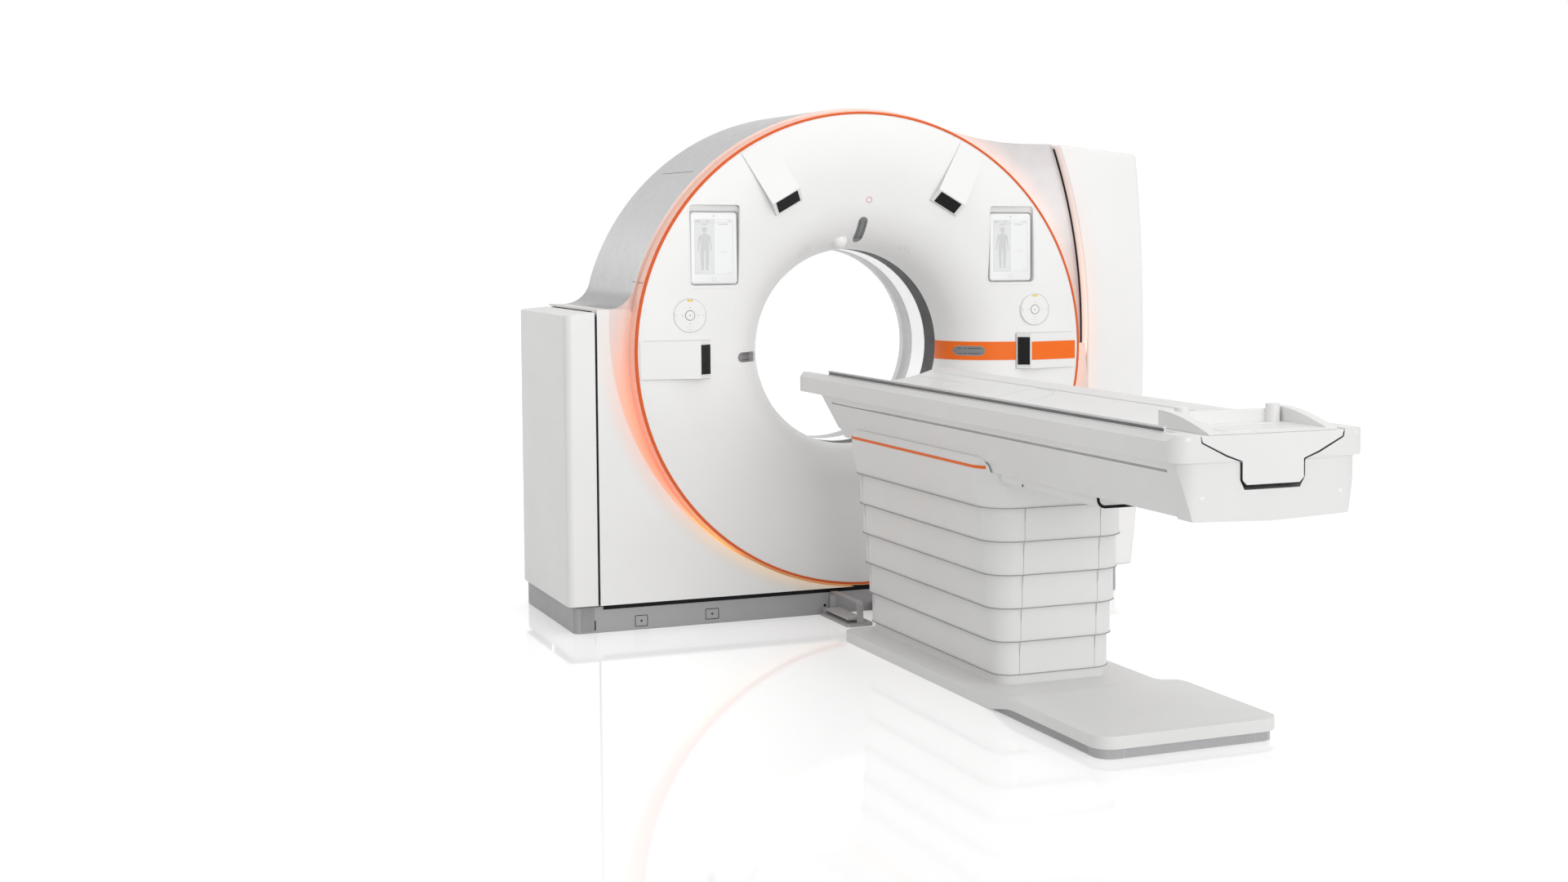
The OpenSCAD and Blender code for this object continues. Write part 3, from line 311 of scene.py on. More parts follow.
# Painted shade and highlight on the hood: darker at its foot and towards its crown, with a painted highlight
# left across the middle.
def hood_painted_shade(tree):
    height = position(tree)["Z"]
    foot = fade(tree, height, 1.64, 1.28)
    crown = fade(tree, height, 1.66, 2.05, 0.0, 0.55)
    return math_node(tree, "MAXIMUM", foot, crown)


def tower_glow(tree):
    here = position(tree)
    radius = distance_from_axis(tree, TOWER_EDGE_X, TOWER_EDGE_Z)
    near_seam = fade(tree, radius, TOWER_EDGE_R + 0.10, TOWER_EDGE_R, 0.0, 0.26)
    edge = fade(tree, radius, TOWER_EDGE_R + 0.0035, TOWER_EDGE_R + 0.0015)
    lower = fade(tree, here["Z"], 1.90, 1.20, 0.25, 1.0)
    front_face = fade(tree, here["Y"], FRONT + 0.20, FRONT + 0.05)
    reach = math_node(tree, "MULTIPLY", math_node(tree, "MULTIPLY", near_seam, lower), front_face)
    tint = mix_colour(tree, edge, (1.0, 0.64, 0.50), (1.0, 0.86, 0.80))
    return math_node(tree, "ADD", reach, math_node(tree, "MULTIPLY", edge, 0.55)), tint, 0.75


# The bore liner glows white: painted light inside the bore, stronger towards its rear.
def liner_glow(tree):
    return fade(tree, position(tree)["Y"], -0.04, 0.02, 0.5, 0.9), (1.0, 1.0, 1.0), 0.34


finishes["halo"] = moulded("halo_diffuser", (0.80, 0.70, 0.66), 0.5, glow=halo_glow)
special = {
    "left_front_panel": moulded("panel_skin_with_glow", WHITE, 0.40, coat=0.10, glow=panel_glow),
    "right_front_panel": moulded("right_panel_skin_with_glow", WHITE, 0.40, coat=0.10, glow=right_panel_glow),
    "arch_hood": moulded("hood_paint_with_glow", (0.52, 0.52, 0.525), 0.34, coat=0.2, metal=0.5,
                         peel=FINE_PEEL, glow=hood_glow, painted_shade=hood_painted_shade),
    "right_tower_cover": moulded("tower_skin_with_glow", WHITE, 0.40, coat=0.10, glow=tower_glow),
    "bore_liner": moulded("liner_skin_lit", WHITE, 0.40, coat=0.10, glow=liner_glow),
    "foot_skirt": moulded("skirt_skin", (0.54, 0.54, 0.55), 0.45),
}
print("skins with a glow or a tone:", sorted(special))

# %% [markdown]
# ## Pods
# The pods are white on a white disc, and only their darker sides set them off. That side shade is painted:
# the surface normal finds the sides, a face that looks to the front keeps its colour, and one that turns away
# is painted darker.

# %% Skin of the pods
# Painted shade on faces that turn away from the front.
def side_painted_shade(tree):
    face = add(tree, "ShaderNodeNewGeometry")
    split = add(tree, "ShaderNodeSeparateXYZ")
    tree.links.new(face.outputs["Normal"], split.inputs["Vector"])
    return fade(tree, split.outputs["Y"], -0.90, -0.50, 0.0, 0.36)


pod_skin = moulded("pod_skin", (0.85, 0.848, 0.84), 0.38, coat=0.15, painted_shade=side_painted_shade)
for name in ("upper_pod_left", "upper_pod_right", "side_pod_left", "side_pod_right"):
    special[name] = pod_skin
print("special skins:", sorted(special))

# %% [markdown]
# ## Soft edges
# A mould leaves no knife edges: every cover has a small rounding that catches a thin line of light.
# The solids stay sharp, so a copy of the mesh is welded, its flat triangles are merged into whole
# faces, and only its real corners are bevelled. Weighted normals then keep the flat faces flat.
# The shells keep their triangles, because a merged face could close the hole that the next shell
# slides through. The copy replaces the solid in the picture, and the solid stays for the physics.

# %% Round the edges of a solid
def shade(obj, angle=40.0):
    obj.data.shade_smooth()
    obj.data.set_sharp_from_angle(angle=math.radians(angle))


def adopt(obj, body, finish):
    obj.data.materials.clear()
    obj.data.materials.append(finish)
    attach(obj, body)
    return obj


def make(name, bm, body, slot, finish=None, angle=40.0):
    mesh = bpy.data.meshes.new(name)
    bmesh.ops.recalc_face_normals(bm, faces=bm.faces[:])
    bm.to_mesh(mesh)
    bm.free()
    obj = bpy.data.objects.new(name, mesh)
    bpy.context.scene.collection.objects.link(obj)
    shade(obj, angle)
    return adopt(obj, body, finish or finishes[slot])


def finish_of(name):
    return special.get(name, finishes[slot_of[name]])


def soften(name, width, segments=2, angle=32.0, merge=True):
    bm = bmesh.new()
    bm.from_mesh(nodes[name].data)
    bmesh.ops.remove_doubles(bm, verts=bm.verts[:], dist=1e-5)
    if merge:
        bmesh.ops.dissolve_limit(bm, angle_limit=math.radians(0.15), verts=bm.verts[:], edges=bm.edges[:])
    corners = [e for e in bm.edges if e.is_manifold and e.calc_face_angle() > math.radians(angle)]
    bmesh.ops.bevel(bm, geom=corners, offset=width, segments=segments, profile=0.5, affect="EDGES",
                    clamp_overlap=True)
    piece = make(name + "_soft", bm, body_of[name], slot_of[name], finish_of(name), 60.0)
    flat = piece.modifiers.new("flat_faces", "WEIGHTED_NORMAL")
    flat.keep_sharp = True
    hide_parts(name)
    return piece


print("soft edges ready")

# %% Soften the covers
EDGES = {
    "left_tower_cover": 0.010, "right_tower_cover": 0.012,
    "left_front_panel": 0.004, "right_front_panel": 0.004, "arch_hood": 0.004,
    "upper_pod_left": 0.006, "upper_pod_right": 0.006, "side_pod_left": 0.006, "side_pod_right": 0.006,
    "tablet_docks": 0.003, "plinth": 0.004, "table_base": 0.012,
    "shell_1": 0.0025, "shell_2": 0.0025, "shell_3": 0.0025, "shell_4": 0.0025, "shell_5": 0.0025,
    "lift_head": 0.006, "table_frame": 0.005, "end_cap": 0.008, "foot_tray": 0.005, "cradle": 0.003,
    "foot_switch": 0.0015, "switch_pedal": 0.0025,
    "dial_panels": 0.0015, "dial_button_left": 0.001, "dial_button_right": 0.001,
}
WIDE_EDGE = 0.005
soft = {}
for name, width in EDGES.items():
    soft[name] = soften(name, width, 3 if width > WIDE_EDGE else 2, merge=not name.startswith("shell"))
print("softened", len(soft), "faces", sum(len(o.data.polygons) for o in soft.values()))

# %% [markdown]
# ## The other solids
# A solid whose shape is right keeps its mesh and only takes a finish.

# %% Give each solid its finish
for name, obj in nodes.items():
    obj.data.materials.clear()
    obj.data.materials.append(finish_of(name))
print("dressed", len(nodes))

# %% [markdown]
# ## Fine trim: profiles, plates and lines
# The rest is thin trim. Three helpers make nearly all of it: a slab skinned over a row of outlines, a
# thin plate cut to an outline, and a low ridge that follows a path over a surface. To seat a ridge on
# a curved cover, each of its points is found by a ray that hits the solid.

# %% Find a place on a solid
def surface(*names):
    points, faces = [], []
    for name in names:
        mesh = nodes[name].data
        start = len(points)
        points += [v.co.copy() for v in mesh.vertices]
        faces += [[start + i for i in p.vertices] for p in mesh.polygons]
    return BVHTree.FromPolygons(points, faces)


def seat(tree, start, direction):
    point, normal, _, _ = tree.ray_cast(Vector(start), Vector(direction))
    if normal.dot(Vector(direction)) > 0.0:
        normal = -normal
    return point, normal


X, Y, Z = Vector((1, 0, 0)), Vector((0, 1, 0)), Vector((0, 0, 1))
front_skin = surface("front_cover")


def on_disc(x, z):
    return seat(front_skin, (x, -0.9, z), Y)


def on_front(y):
    return lambda x, z: (Vector((x, y, z)), -Y)


print("disc surface at", [round(v, 3) for v in on_disc(0.0, ISO + 0.7)[0]])

# %% Helpers for trim
def ring_of(bm, points):
    return [bm.verts.new(p) for p in points]


def skin_between(bm, first, second, closed=True):
    count = len(first)
    for i in range(count if closed else count - 1):
        j = (i + 1) % count
        bm.faces.new((first[i], first[j], second[j], second[i]))


def slab(bm, rows, closed=False):
    rings = [ring_of(bm, row) for row in rows]
    for first, second in zip(rings, rings[1:]):
        skin_between(bm, first, second)
    if closed:
        skin_between(bm, rings[-1], rings[0])
    else:
        bm.faces.new(rings[0])
        bm.faces.new(rings[-1][::-1])


def ridge(bm, path, width, height, closed=False, sink=0.0006):
    rows = []
    count = len(path)
    for i, (point, normal) in enumerate(path):
        before = path[(i - 1) % count][0] if closed or i > 0 else point
        after = path[(i + 1) % count][0] if closed or i < count - 1 else point
        side = normal.cross((after - before).normalized()).normalized() * (width / 2.0)
        shoulder = side * 0.7
        top, foot = normal * height, normal * -sink
        left = (point - side + foot, point - shoulder + top)
        right = (point + shoulder + top, point + side + foot)
        rows.append(left + right)
    slab(bm, rows, closed)


def plate(bm, points, place, thickness=0.0004, sink=0.0006):
    outline = [place(*p) for p in points]
    slab(bm, ([p + n * thickness for p, n in outline], [p - n * sink for p, n in outline]))


def draw(bm, points, place, width, height=0.0004, closed=True):
    ridge(bm, [place(*p) for p in points], width, height, closed)


print("trim helpers ready")

# %% [markdown]
# ## Outlines
# Printed marks and small caps need circles, rounded boxes and softened corners. Each is a
# function that returns points, so a plate or a line can use the same outline.

# %% Helpers for outlines
def circle_points(x, z, radius, count=32, start=0.0, turn=2.0 * math.pi):
    angles = [start + turn * i / count for i in range(count)]
    return [(x + radius * math.cos(a), z + radius * math.sin(a)) for a in angles]


def box_points(left, low, right, high):
    return [(left, low), (right, low), (right, high), (left, high)]


def rounded(x, z, width, height, radius, steps=6):
    points = []
    for sx, sz, start in ((1, 1, 0), (-1, 1, 90), (-1, -1, 180), (1, -1, 270)):
        for i in range(steps + 1):
            a = math.radians(start + 90 * i / steps)
            points.append((x + sx * (width / 2 - radius) + radius * math.cos(a),
                           z + sz * (height / 2 - radius) + radius * math.sin(a)))
    return points


def dome(bm, point, normal, radius, height, count=16):
    side = normal.orthogonal().normalized()
    other = normal.cross(side)
    turns = [2 * math.pi * i / count for i in range(count)]
    spokes = [side * math.cos(a) + other * math.sin(a) for a in turns]
    steps = ((1.0, -0.001), (1.0, 0.2 * height), (0.8, 0.7 * height), (0.4, height))
    rows = []
    for share, lift in steps:
        rows.append([point + spoke * (radius * share) + normal * lift for spoke in spokes])
    slab(bm, rows)


def round_off(points, reach, steps=4, closed=False):
    points = [Vector(p) for p in points]
    result = []
    for i, corner in enumerate(points):
        if not closed and i in (0, len(points) - 1):
            result.append(corner)
            continue
        before, after = points[i - 1], points[(i + 1) % len(points)]
        first = corner + (before - corner).normalized() * reach
        last = corner + (after - corner).normalized() * reach
        for k in range(steps + 1):
            t = k / steps
            result.append(first * (1 - t) ** 2 + corner * (2 * t * (1 - t)) + last * t ** 2)
    return result


print("outline helpers ready")

# %% [markdown]
# ## Inks and small skins
# Prints, screens, seams and the painted shade and shadow lines need their own colours. They use the same
# moulded skin as the covers, so that they take the light in the same way.

# %% Mix the inks
inks = {
    "ink": moulded("printed_grey", (0.16, 0.16, 0.165), 0.5),
    "pale_ink": moulded("printed_pale_grey", (0.50, 0.50, 0.505), 0.5),
    "screen": moulded("screen_pale", (0.82, 0.825, 0.83), 0.15, coat=0.3),
    "screen_grey": moulded("screen_grey", (0.72, 0.725, 0.73), 0.15, coat=0.3),
    "figure": moulded("screen_figure", (0.58, 0.585, 0.59), 0.15, coat=0.3),
    "yellow": moulded("printed_yellow", (0.80, 0.55, 0.02), 0.45),
    "red": moulded("printed_red", (0.62, 0.08, 0.06), 0.45),
    "pedal": moulded("pedal_skin", (0.60, 0.58, 0.575), 0.5),
    "screw": moulded("screw_cap_skin", (0.92, 0.918, 0.91), 0.3, coat=0.4),
    "pod_shadow_ink": moulded("soft_seam_shadow", (0.56, 0.555, 0.55), 0.6),
    "shade_ring": moulded("shade_ring_skin", (0.40, 0.40, 0.402), 0.7, shine=0.2),
    "seam": moulded("seam_shadow", (0.30, 0.30, 0.305), 0.6),
}
print("inks:", sorted(inks))

# %% [markdown]
# ## Seams and gaps
# The covers meet with a few millimetres between them, and the shade in each gap is painted with a black strip
# that fills it. A plain dark box would look flat, so each strip is a small half-round profile set just below
# the covers.

# %% Painted shade in the seam beside the left tower
LIP = finishes["dark_block"]


def lip_profile(bm, path, inward, across, width, depth):
    half = across * (width / 2)
    turns = [math.pi * i / 4 for i in range(5)]
    rows = []
    for point in path:
        crown = [point + half * math.cos(a) + inward * (depth * (1 - math.sin(a))) for a in turns]
        rows.append(crown + [point - half + inward * (4 * depth), point + half + inward * (4 * depth)])
    slab(bm, rows)


SEAM_DEPTH, SEAM_CLEARANCE = 0.003, 0.0006
tower_low, tower_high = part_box("left_tower_cover")
panel_low, panel_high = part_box("left_front_panel")
seam_x = (tower_high.x + panel_low.x) / 2
seam_w = panel_low.x - tower_high.x - SEAM_CLEARANCE
front_y = max(tower_low.y, panel_low.y) + 0.004
top_z = min(tower_high.z, panel_high.z) - 0.016
upright = [Vector((seam_x, front_y, z)) for z in (tower_low.z + 0.004, top_z)]
over_top = [Vector((seam_x, y, top_z)) for y in (front_y + 0.013, tower_high.y - 0.02)]
bm = bmesh.new()
lip_profile(bm, upright, Y, X, seam_w, SEAM_DEPTH)
lip_profile(bm, over_top, -Z, X, seam_w, SEAM_DEPTH)
make("left_seam_shade_strip", bm, "gantry", "dark_block", LIP)
print("left seam at x", round(seam_x, 4), "width", round(seam_w * 1000, 1), "mm")

# %% Painted shadow above the plinth
# A black strip under the covers' edge paints the shadow that their overhang casts on the plinth.
PLINTH_SHADOW_Z, PLINTH_SHADOW_RIGHT, PLINTH_SHADOW_H = 0.100, 1.02, 0.019
plinth_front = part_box("plinth")[0].y
ends = [Vector((x, plinth_front - 0.004, PLINTH_SHADOW_Z)) for x in (seam_x + 0.02, PLINTH_SHADOW_RIGHT)]
bm = bmesh.new()
lip_profile(bm, ends, Y, Z, PLINTH_SHADOW_H, 0.002)
make("plinth_lip", bm, "gantry", "dark_block", LIP)
print("plinth front at y", round(plinth_front, 4))

# %% Seal round the notch in the end cap
NOTCH_HALF = [
    (0.239, 1.004), (0.234, 0.989), (0.153, 0.949), (0.104, 0.931), (0.104, 0.878), (0.091, 0.8625),
]
notch = [(-x, z) for x, z in NOTCH_HALF] + NOTCH_HALF[::-1]
foot_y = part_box("end_cap")[0].y
path = [(Vector((x, foot_y + 0.003, z)), -Y) for x, z in round_off(notch, 0.010)]
bm = bmesh.new()
ridge(bm, path, 0.0036, 0.001, sink=0.03)
make("cap_seal", bm, "lift", "dark_block", LIP)
print("cap seal points", len(path))

# %% Glowing strip behind the glowing band
# A strip with the glowing halo skin covers the dark gap behind the band: painted glow from a part that is no
# lamp.
GLOW_STRIP_RADIUS, GLOW_STRIP_Y = 0.983, -0.2375
turns = [math.radians(170 + 200 * i / 120) for i in range(121)]
glow_strip_arc = [Vector((GLOW_STRIP_RADIUS * math.cos(a), GLOW_STRIP_Y, ISO + GLOW_STRIP_RADIUS * math.sin(a))) for a in turns]
bm = bmesh.new()
ridge(bm, [(point, -Y) for point in glow_strip_arc], 0.016, 0.001)
make("halo_glow_strip", bm, "gantry", "halo")
print("halo shade points", len(glow_strip_arc))

# %% Painted shade in the seam beside the right tower
RIGHT_SEAM_Y, RIGHT_SEAM_TOP = -0.2352, 1.925


def tower_edge(z, inset):
    rise = max(0.0, z - TOWER_EDGE_Z)
    return TOWER_EDGE_X + math.sqrt((TOWER_EDGE_R - inset) ** 2 - rise ** 2)


# A black strip in the gap paints the shade of the seam.
heights = [ISO + 0.002 + i * (RIGHT_SEAM_TOP - ISO) / 40 for i in range(41)]
path = [(Vector((tower_edge(z, 0.006), RIGHT_SEAM_Y, z)), -Y) for z in heights]
bm = bmesh.new()
ridge(bm, path, 0.011, 0.0012, sink=0.012)
make("right_seam_shade_strip", bm, "gantry", "dark_block", LIP)
print("right seam from", round(heights[0], 3), "to", round(heights[-1], 3))

# %% Seams of the hood
HOOD_SEAMS = ((-0.115, 0.335, 132.8), (-0.300, -0.190, 163.2), (-0.300, -0.225, 89.0))
hood_skin = surface("arch_hood", "halo_band")
bm = bmesh.new()
for start, end, degrees in HOOD_SEAMS:
    a = math.radians(degrees)
    spoke = Vector((math.cos(a), 0.0, math.sin(a)))
    starts = [Vector((0.0, start + (end - start) * i / 12, ISO)) + spoke * 1.6 for i in range(13)]
    ridge(bm, [seat(hood_skin, point, -spoke) for point in starts], 0.003, 0.0002)
make("hood_seams", bm, "gantry", "dark_block", LIP)
print("hood seams", len(HOOD_SEAMS))

# %% [markdown]
# ## Closing panels at the back
# Beside the round rear cover the shoulders of the hood would look straight into the frame. Two small
# panels, set a little back, close these corners. Rays from below find the hood's inside for their tops.

# %% Close the rear corners
RIM = 0.972
CORNER_FOOT = ISO + 0.002
CORNER_LEFT, CORNER_LEFT_RIM, CORNER_LEFT_TOP = -1.118, -0.960, 1.2585
CORNER_RIGHT_RIM = 0.372
CORNER_BACK, CORNER_FRONT, CORNER_MIDDLE = 0.479, 0.468, 0.473
hood_only = surface("arch_hood")


def under_hood(x, start):
    hit = hood_only.ray_cast(Vector((x, CORNER_MIDDLE, start)), Z)[0]
    return [(x, hit.z - 0.0008)] if hit else []


def rim(side, degrees):
    a = math.radians(degrees)
    return side * RIM * math.cos(a), ISO + RIM * math.sin(a)


right_edge = [(tower_edge(z, 0.005), z) for z in [CORNER_FOOT + 0.0207 * i for i in range(41)]]
right_start, right_span = right_edge[-1][0], CORNER_RIGHT_RIM - right_edge[-1][0]
left_span = CORNER_LEFT - CORNER_LEFT_RIM
right_top = [p for i in range(1, 25) for p in under_hood(right_start + right_span * i / 25, 1.70)]
left_top = [p for i in range(1, 17) for p in under_hood(CORNER_LEFT_RIM + left_span * i / 17, 1.20)]
corner_panels = {
    "rear_corner_right": right_edge + right_top + [rim(1, 68 - 2 * i) for i in range(35)],
    "rear_corner_left": [rim(-1, 2 * i) for i in range(6)] + left_top
                        + [(CORNER_LEFT, CORNER_LEFT_TOP), (CORNER_LEFT, CORNER_FOOT)],
}
for name, outline in corner_panels.items():
    bm = bmesh.new()
    slab(bm, [[Vector((x, y, z)) for x, z in outline] for y in (CORNER_FRONT, CORNER_BACK)])
    make(name, bm, "gantry", "white_cover")
print("rear corners:", {name: len(outline) for name, outline in corner_panels.items()})

# %% [markdown]
# ## Tablets
# Each tablet is a thin slab with round corners and a domed edge. The screen is drawn with flat plates:
# a grey half with a plain figure, a pale half with faint lines, and a bar at the top.

# %% Make the tablets
TABLET_W, TABLET_H, TABLET_Z, TABLET_Y = 0.192, 0.284, 1.508, -0.312
TABLET_X = 0.650
TABLET_CORNER = 0.014
TABLET_STEPS = (
    (0.023, 0.003), (0.019, 0.0), (0.005, 0.0), (0.0018, 0.0013), (0.0004, 0.0040), (0.0, 0.0065),
)


def tablet_row(x, depth, inset):
    outline = rounded(x, TABLET_Z, TABLET_W - 2 * inset, TABLET_H - 2 * inset, TABLET_CORNER - inset)
    return [Vector((px, TABLET_Y + depth, pz)) for px, pz in outline]


bm = bmesh.new()
for x in (-TABLET_X, TABLET_X):
    slab(bm, [tablet_row(x, depth, inset) for depth, inset in TABLET_STEPS])
tablet = make("tablet_slabs", bm, body_of["tablets"], "tablet", None, 50.0)
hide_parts("tablets")
print("tablets", len(tablet.data.polygons), "faces")

# %% Draw the screens
SCREEN_W, SCREEN_H, SCREEN_Z = 0.82 * TABLET_W, 0.7625 * TABLET_H, TABLET_Z + 0.0057
SPLIT_SHARE, BAR_DROP = 0.516, 0.012
FIGURE_HALF = [
    (0.03, 0.865), (0.035, 0.83), (0.115, 0.80), (0.14, 0.77), (0.155, 0.62), (0.172, 0.47), (0.165, 0.43),
    (0.145, 0.43), (0.138, 0.50), (0.12, 0.62), (0.105, 0.71), (0.095, 0.60), (0.105, 0.50), (0.10, 0.30),
    (0.08, 0.06), (0.085, 0.0), (0.03, 0.0), (0.025, 0.06), (0.02, 0.30), (0.008, 0.46),
]
DARK_DASHES = (
    (0.03, 0.14, 0.970), (0.30, 0.38, 0.970), (0.86, 0.95, 0.970), (0.18, 0.34, 0.915), (0.62, 0.86, 0.915),
)
PALE_DASHES = ((0.66, 0.84, 0.40), (0.05, 0.12, 0.035), (0.84, 0.96, 0.035))
on_tablet = on_front(TABLET_Y)
layers = {key: bmesh.new() for key in ("screen", "screen_grey", "figure", "pale_ink", "ink")}


def draw_figure(middle, feet, tall):
    half = [(a * tall, feet + b * tall) for a, b in FIGURE_HALF]
    outline = [(middle + x, z) for x, z in half] + [(middle - x, z) for x, z in half[::-1]]
    plate(layers["figure"], outline, on_tablet, 0.0005)
    plate(layers["figure"], circle_points(middle, feet + 0.93 * tall, 0.062 * tall, 20), on_tablet, 0.0005)


for x in (-TABLET_X, TABLET_X):
    left, right = x - SCREEN_W / 2, x + SCREEN_W / 2
    low, high = SCREEN_Z - SCREEN_H / 2, SCREEN_Z + SCREEN_H / 2
    split = left + SPLIT_SHARE * SCREEN_W
    plate(layers["screen_grey"], box_points(left, low, split, high), on_tablet, 0.0003)
    plate(layers["screen"], box_points(split, low, right, high), on_tablet, 0.0003)
    draw_figure((left + split) / 2, low + 0.07 * SCREEN_H, 0.80 * SCREEN_H)
    draw(layers["pale_ink"], box_points(left, low, right, high), on_tablet, 0.0012, 0.0005)
    bar = ((left, high - BAR_DROP), (right, high - BAR_DROP))
    draw(layers["pale_ink"], bar, on_tablet, 0.0012, 0.0006, closed=False)
    for key, dashes in (("ink", DARK_DASHES), ("pale_ink", PALE_DASHES)):
        for a, b, up in dashes:
            dash = [(left + share * SCREEN_W, low + up * SCREEN_H) for share in (a, b)]
            draw(layers[key], dash, on_tablet, 0.0016, 0.0006, closed=False)
    home = circle_points(x, TABLET_Z - TABLET_H / 2 + 0.019, 0.0075, 24)
    draw(layers["pale_ink"], home, on_tablet, 0.0012, 0.0004)
    lens_dot = circle_points(x, TABLET_Z + TABLET_H / 2 - 0.014, 0.0022, 12)
    plate(layers["ink"], lens_dot, on_tablet, 0.0003)
for key, bm in layers.items():
    make("tablet_" + key, bm, body_of["tablets"], "tablet", inks[key])
print("screen layers", sorted(layers))

# %% [markdown]
# ## Round control panels
# A fine circle, arrows, ticks and a yellow mark are printed on each panel. The ring round the button
# stays on the panel, while the small mark on the button moves in with it.

# %% Print the control panels
DIAL_X, DIAL_Y, DIAL_Z, DIAL_R = 0.756, -0.330, 1.243, 0.068
ARROWS = [(k, 0.45, 0.0042) for k in range(4)] + [(k, 0.80, 0.0030) for k in (0, 2, 3)]
DASH_ROWS = ((-0.66, 4), (-0.82, 3))
DASH_PITCH, DASH_HALF = 0.0085, 0.0026
on_dial = on_front(DIAL_Y)
marks = {key: bmesh.new() for key in ("ink", "pale_ink", "yellow")}


def arrow(x, quarter, reach, size):
    out = Vector((round(math.cos(quarter * math.pi / 2)), round(math.sin(quarter * math.pi / 2))))
    across = Vector((-out.y, out.x))
    foot = Vector((x, DIAL_Z)) + out * (reach * DIAL_R)
    return foot + out * size, foot - across * size, foot + across * size


for x in (-DIAL_X, DIAL_X):
    draw(marks["ink"], circle_points(x, DIAL_Z, 0.966 * DIAL_R, 72), on_dial, 0.0010, 0.0003)
    draw(marks["ink"], circle_points(x, DIAL_Z, 0.0195, 40), on_dial, 0.0020, 0.0004)
    for quarter, reach, size in ARROWS:
        plate(marks["pale_ink"], arrow(x, quarter, reach, size), on_dial, 0.0004)
    for middle in (0.0, math.pi):
        tick = circle_points(x, DIAL_Z, 0.90 * DIAL_R, 8, middle - 0.16, 0.36)
        draw(marks["pale_ink"], tick, on_dial, 0.0012, 0.0003, closed=False)
    for dx in (-0.0062, 0.0062):
        patch = rounded(x + dx, DIAL_Z + 0.86 * DIAL_R, 0.0095, 0.0085, 0.002, 3)
        plate(marks["yellow"], patch, on_dial, 0.0004)
    for row, count in DASH_ROWS:
        for k in range(count):
            middle, z = x + (k - (count - 1) / 2) * DASH_PITCH, DIAL_Z + row * DIAL_R
            dash = ((middle - DASH_HALF, z), (middle + DASH_HALF, z))
            draw(marks["pale_ink"], dash, on_dial, 0.0014, 0.0003, closed=False)
for key, bm in marks.items():
    make("dial_" + key, bm, "gantry", "dark_block", inks[key])
print("control panels printed:", sorted(marks))

# %% Mark the buttons
MARK_HALF, MARK_LOW, MARK_HIGH = 0.003, 1.2412, 1.2466
for side, x in (("left", -DIAL_X), ("right", DIAL_X)):
    button = "dial_button_" + side
    corners = ((x - MARK_HALF, MARK_LOW), (x + MARK_HALF, MARK_LOW), (x, MARK_HIGH))
    bm = bmesh.new()
    plate(bm, corners, on_front(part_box(button)[0].y), 0.0003)
    make("button_mark_" + side, bm, body_of[button], "dark_block", inks["ink"])
print("buttons marked")

# %% [markdown]
# ## Details of the disc
# A small red ring, two groups of sound holes on the mouth, a painted shadow line round each pod, slots in the
# laser windows, a silver ring whose grey paints the shade at the rear of the bore, and the orange field that
# continues the band over the right side pod.

# %% Red ring and sound holes
RED_RING = (0.0137, 1.7045, 0.0115)
HOLE_GROUPS = ((-0.232, 1.486), (0.199, 1.484))
HOLE_PITCH, HOLE_ROW, GROUP_R, MOUTH_EDGE = 0.0105, 0.0092, 0.0335, 0.453
bm = bmesh.new()
draw(bm, circle_points(*RED_RING, 36), on_disc, 0.0026, 0.0004)
make("disc_red_ring", bm, "gantry", "orange", inks["red"])

bm = bmesh.new()
for x, z in HOLE_GROUPS:
    for row in range(-3, 4):
        for k in range(-3, 4):
            dx, dz = (k + 0.5 * (row % 2)) * HOLE_PITCH, row * HOLE_ROW
            if math.hypot(dx, dz) < GROUP_R and math.hypot(x + dx, z + dz - ISO) > MOUTH_EDGE:
                dome(bm, *on_disc(x + dx, z + dz), 0.0022, 0.0003, 8)
make("sound_holes", bm, "gantry", "dark_block", inks["pale_ink"])
print("ring and sound holes made")

# %% Painted shadow lines round the pods
POD_LENGTH = 0.284
SIDE_POD, UPPER_POD = (0.0, 0.814, 1.068, 0.150), (60.0, 0.407, 1.795, 0.130)
POD_LINE_OUT = 0.001


def pod_line(side, degrees, x, z, across):
    a = math.radians(degrees)
    u = Vector((side * math.cos(a), math.sin(a))) * (POD_LENGTH / 2 + POD_LINE_OUT)
    v = Vector((-math.sin(a), side * math.cos(a))) * (across / 2 + POD_LINE_OUT)
    middle = Vector((side * x, z))
    corners = [middle + u * along + v * over for along, over in ((0.9, 1), (-1, 1), (-1, -1), (0.9, -1))]
    points = [p.lerp(q, k / 10) for p, q in zip(corners, corners[1:]) for k in range(11)]
    return [on_disc(*point) for point in points]


# Grey lines on the disc paint the soft shadow round each pod's base.
bm = bmesh.new()
for side in (-1, 1):
    for pod in (SIDE_POD, UPPER_POD):
        ridge(bm, pod_line(side, *pod), 0.0030, 0.0003)
make("pod_shadow_lines", bm, "gantry", "white_cover", inks["pod_shadow_ink"])
print("pod lines made")

# %% Slots in the laser windows
SLOT_HALF, SLOT_OFF = 0.036, 0.011
LASERS = (((-0.492, 1.068), X, Z), ((0.492, 1.068), X, Z), ((0.0, 1.582), Z, X))
glass = surface("laser_windows")
bm = bmesh.new()
for (x, z), along, across in LASERS:
    for offset in (-SLOT_OFF, SLOT_OFF):
        middle = Vector((x, -0.6, z)) + across * offset
        starts = [middle + along * (t * SLOT_HALF) for t in (-1, -0.5, 0, 0.5, 1)]
        ridge(bm, [seat(glass, start, Y) for start in starts], 0.003, 0.0003)
make("laser_slots", bm, "gantry", "dark_block", LIP)
print("laser slots", 2 * len(LASERS))

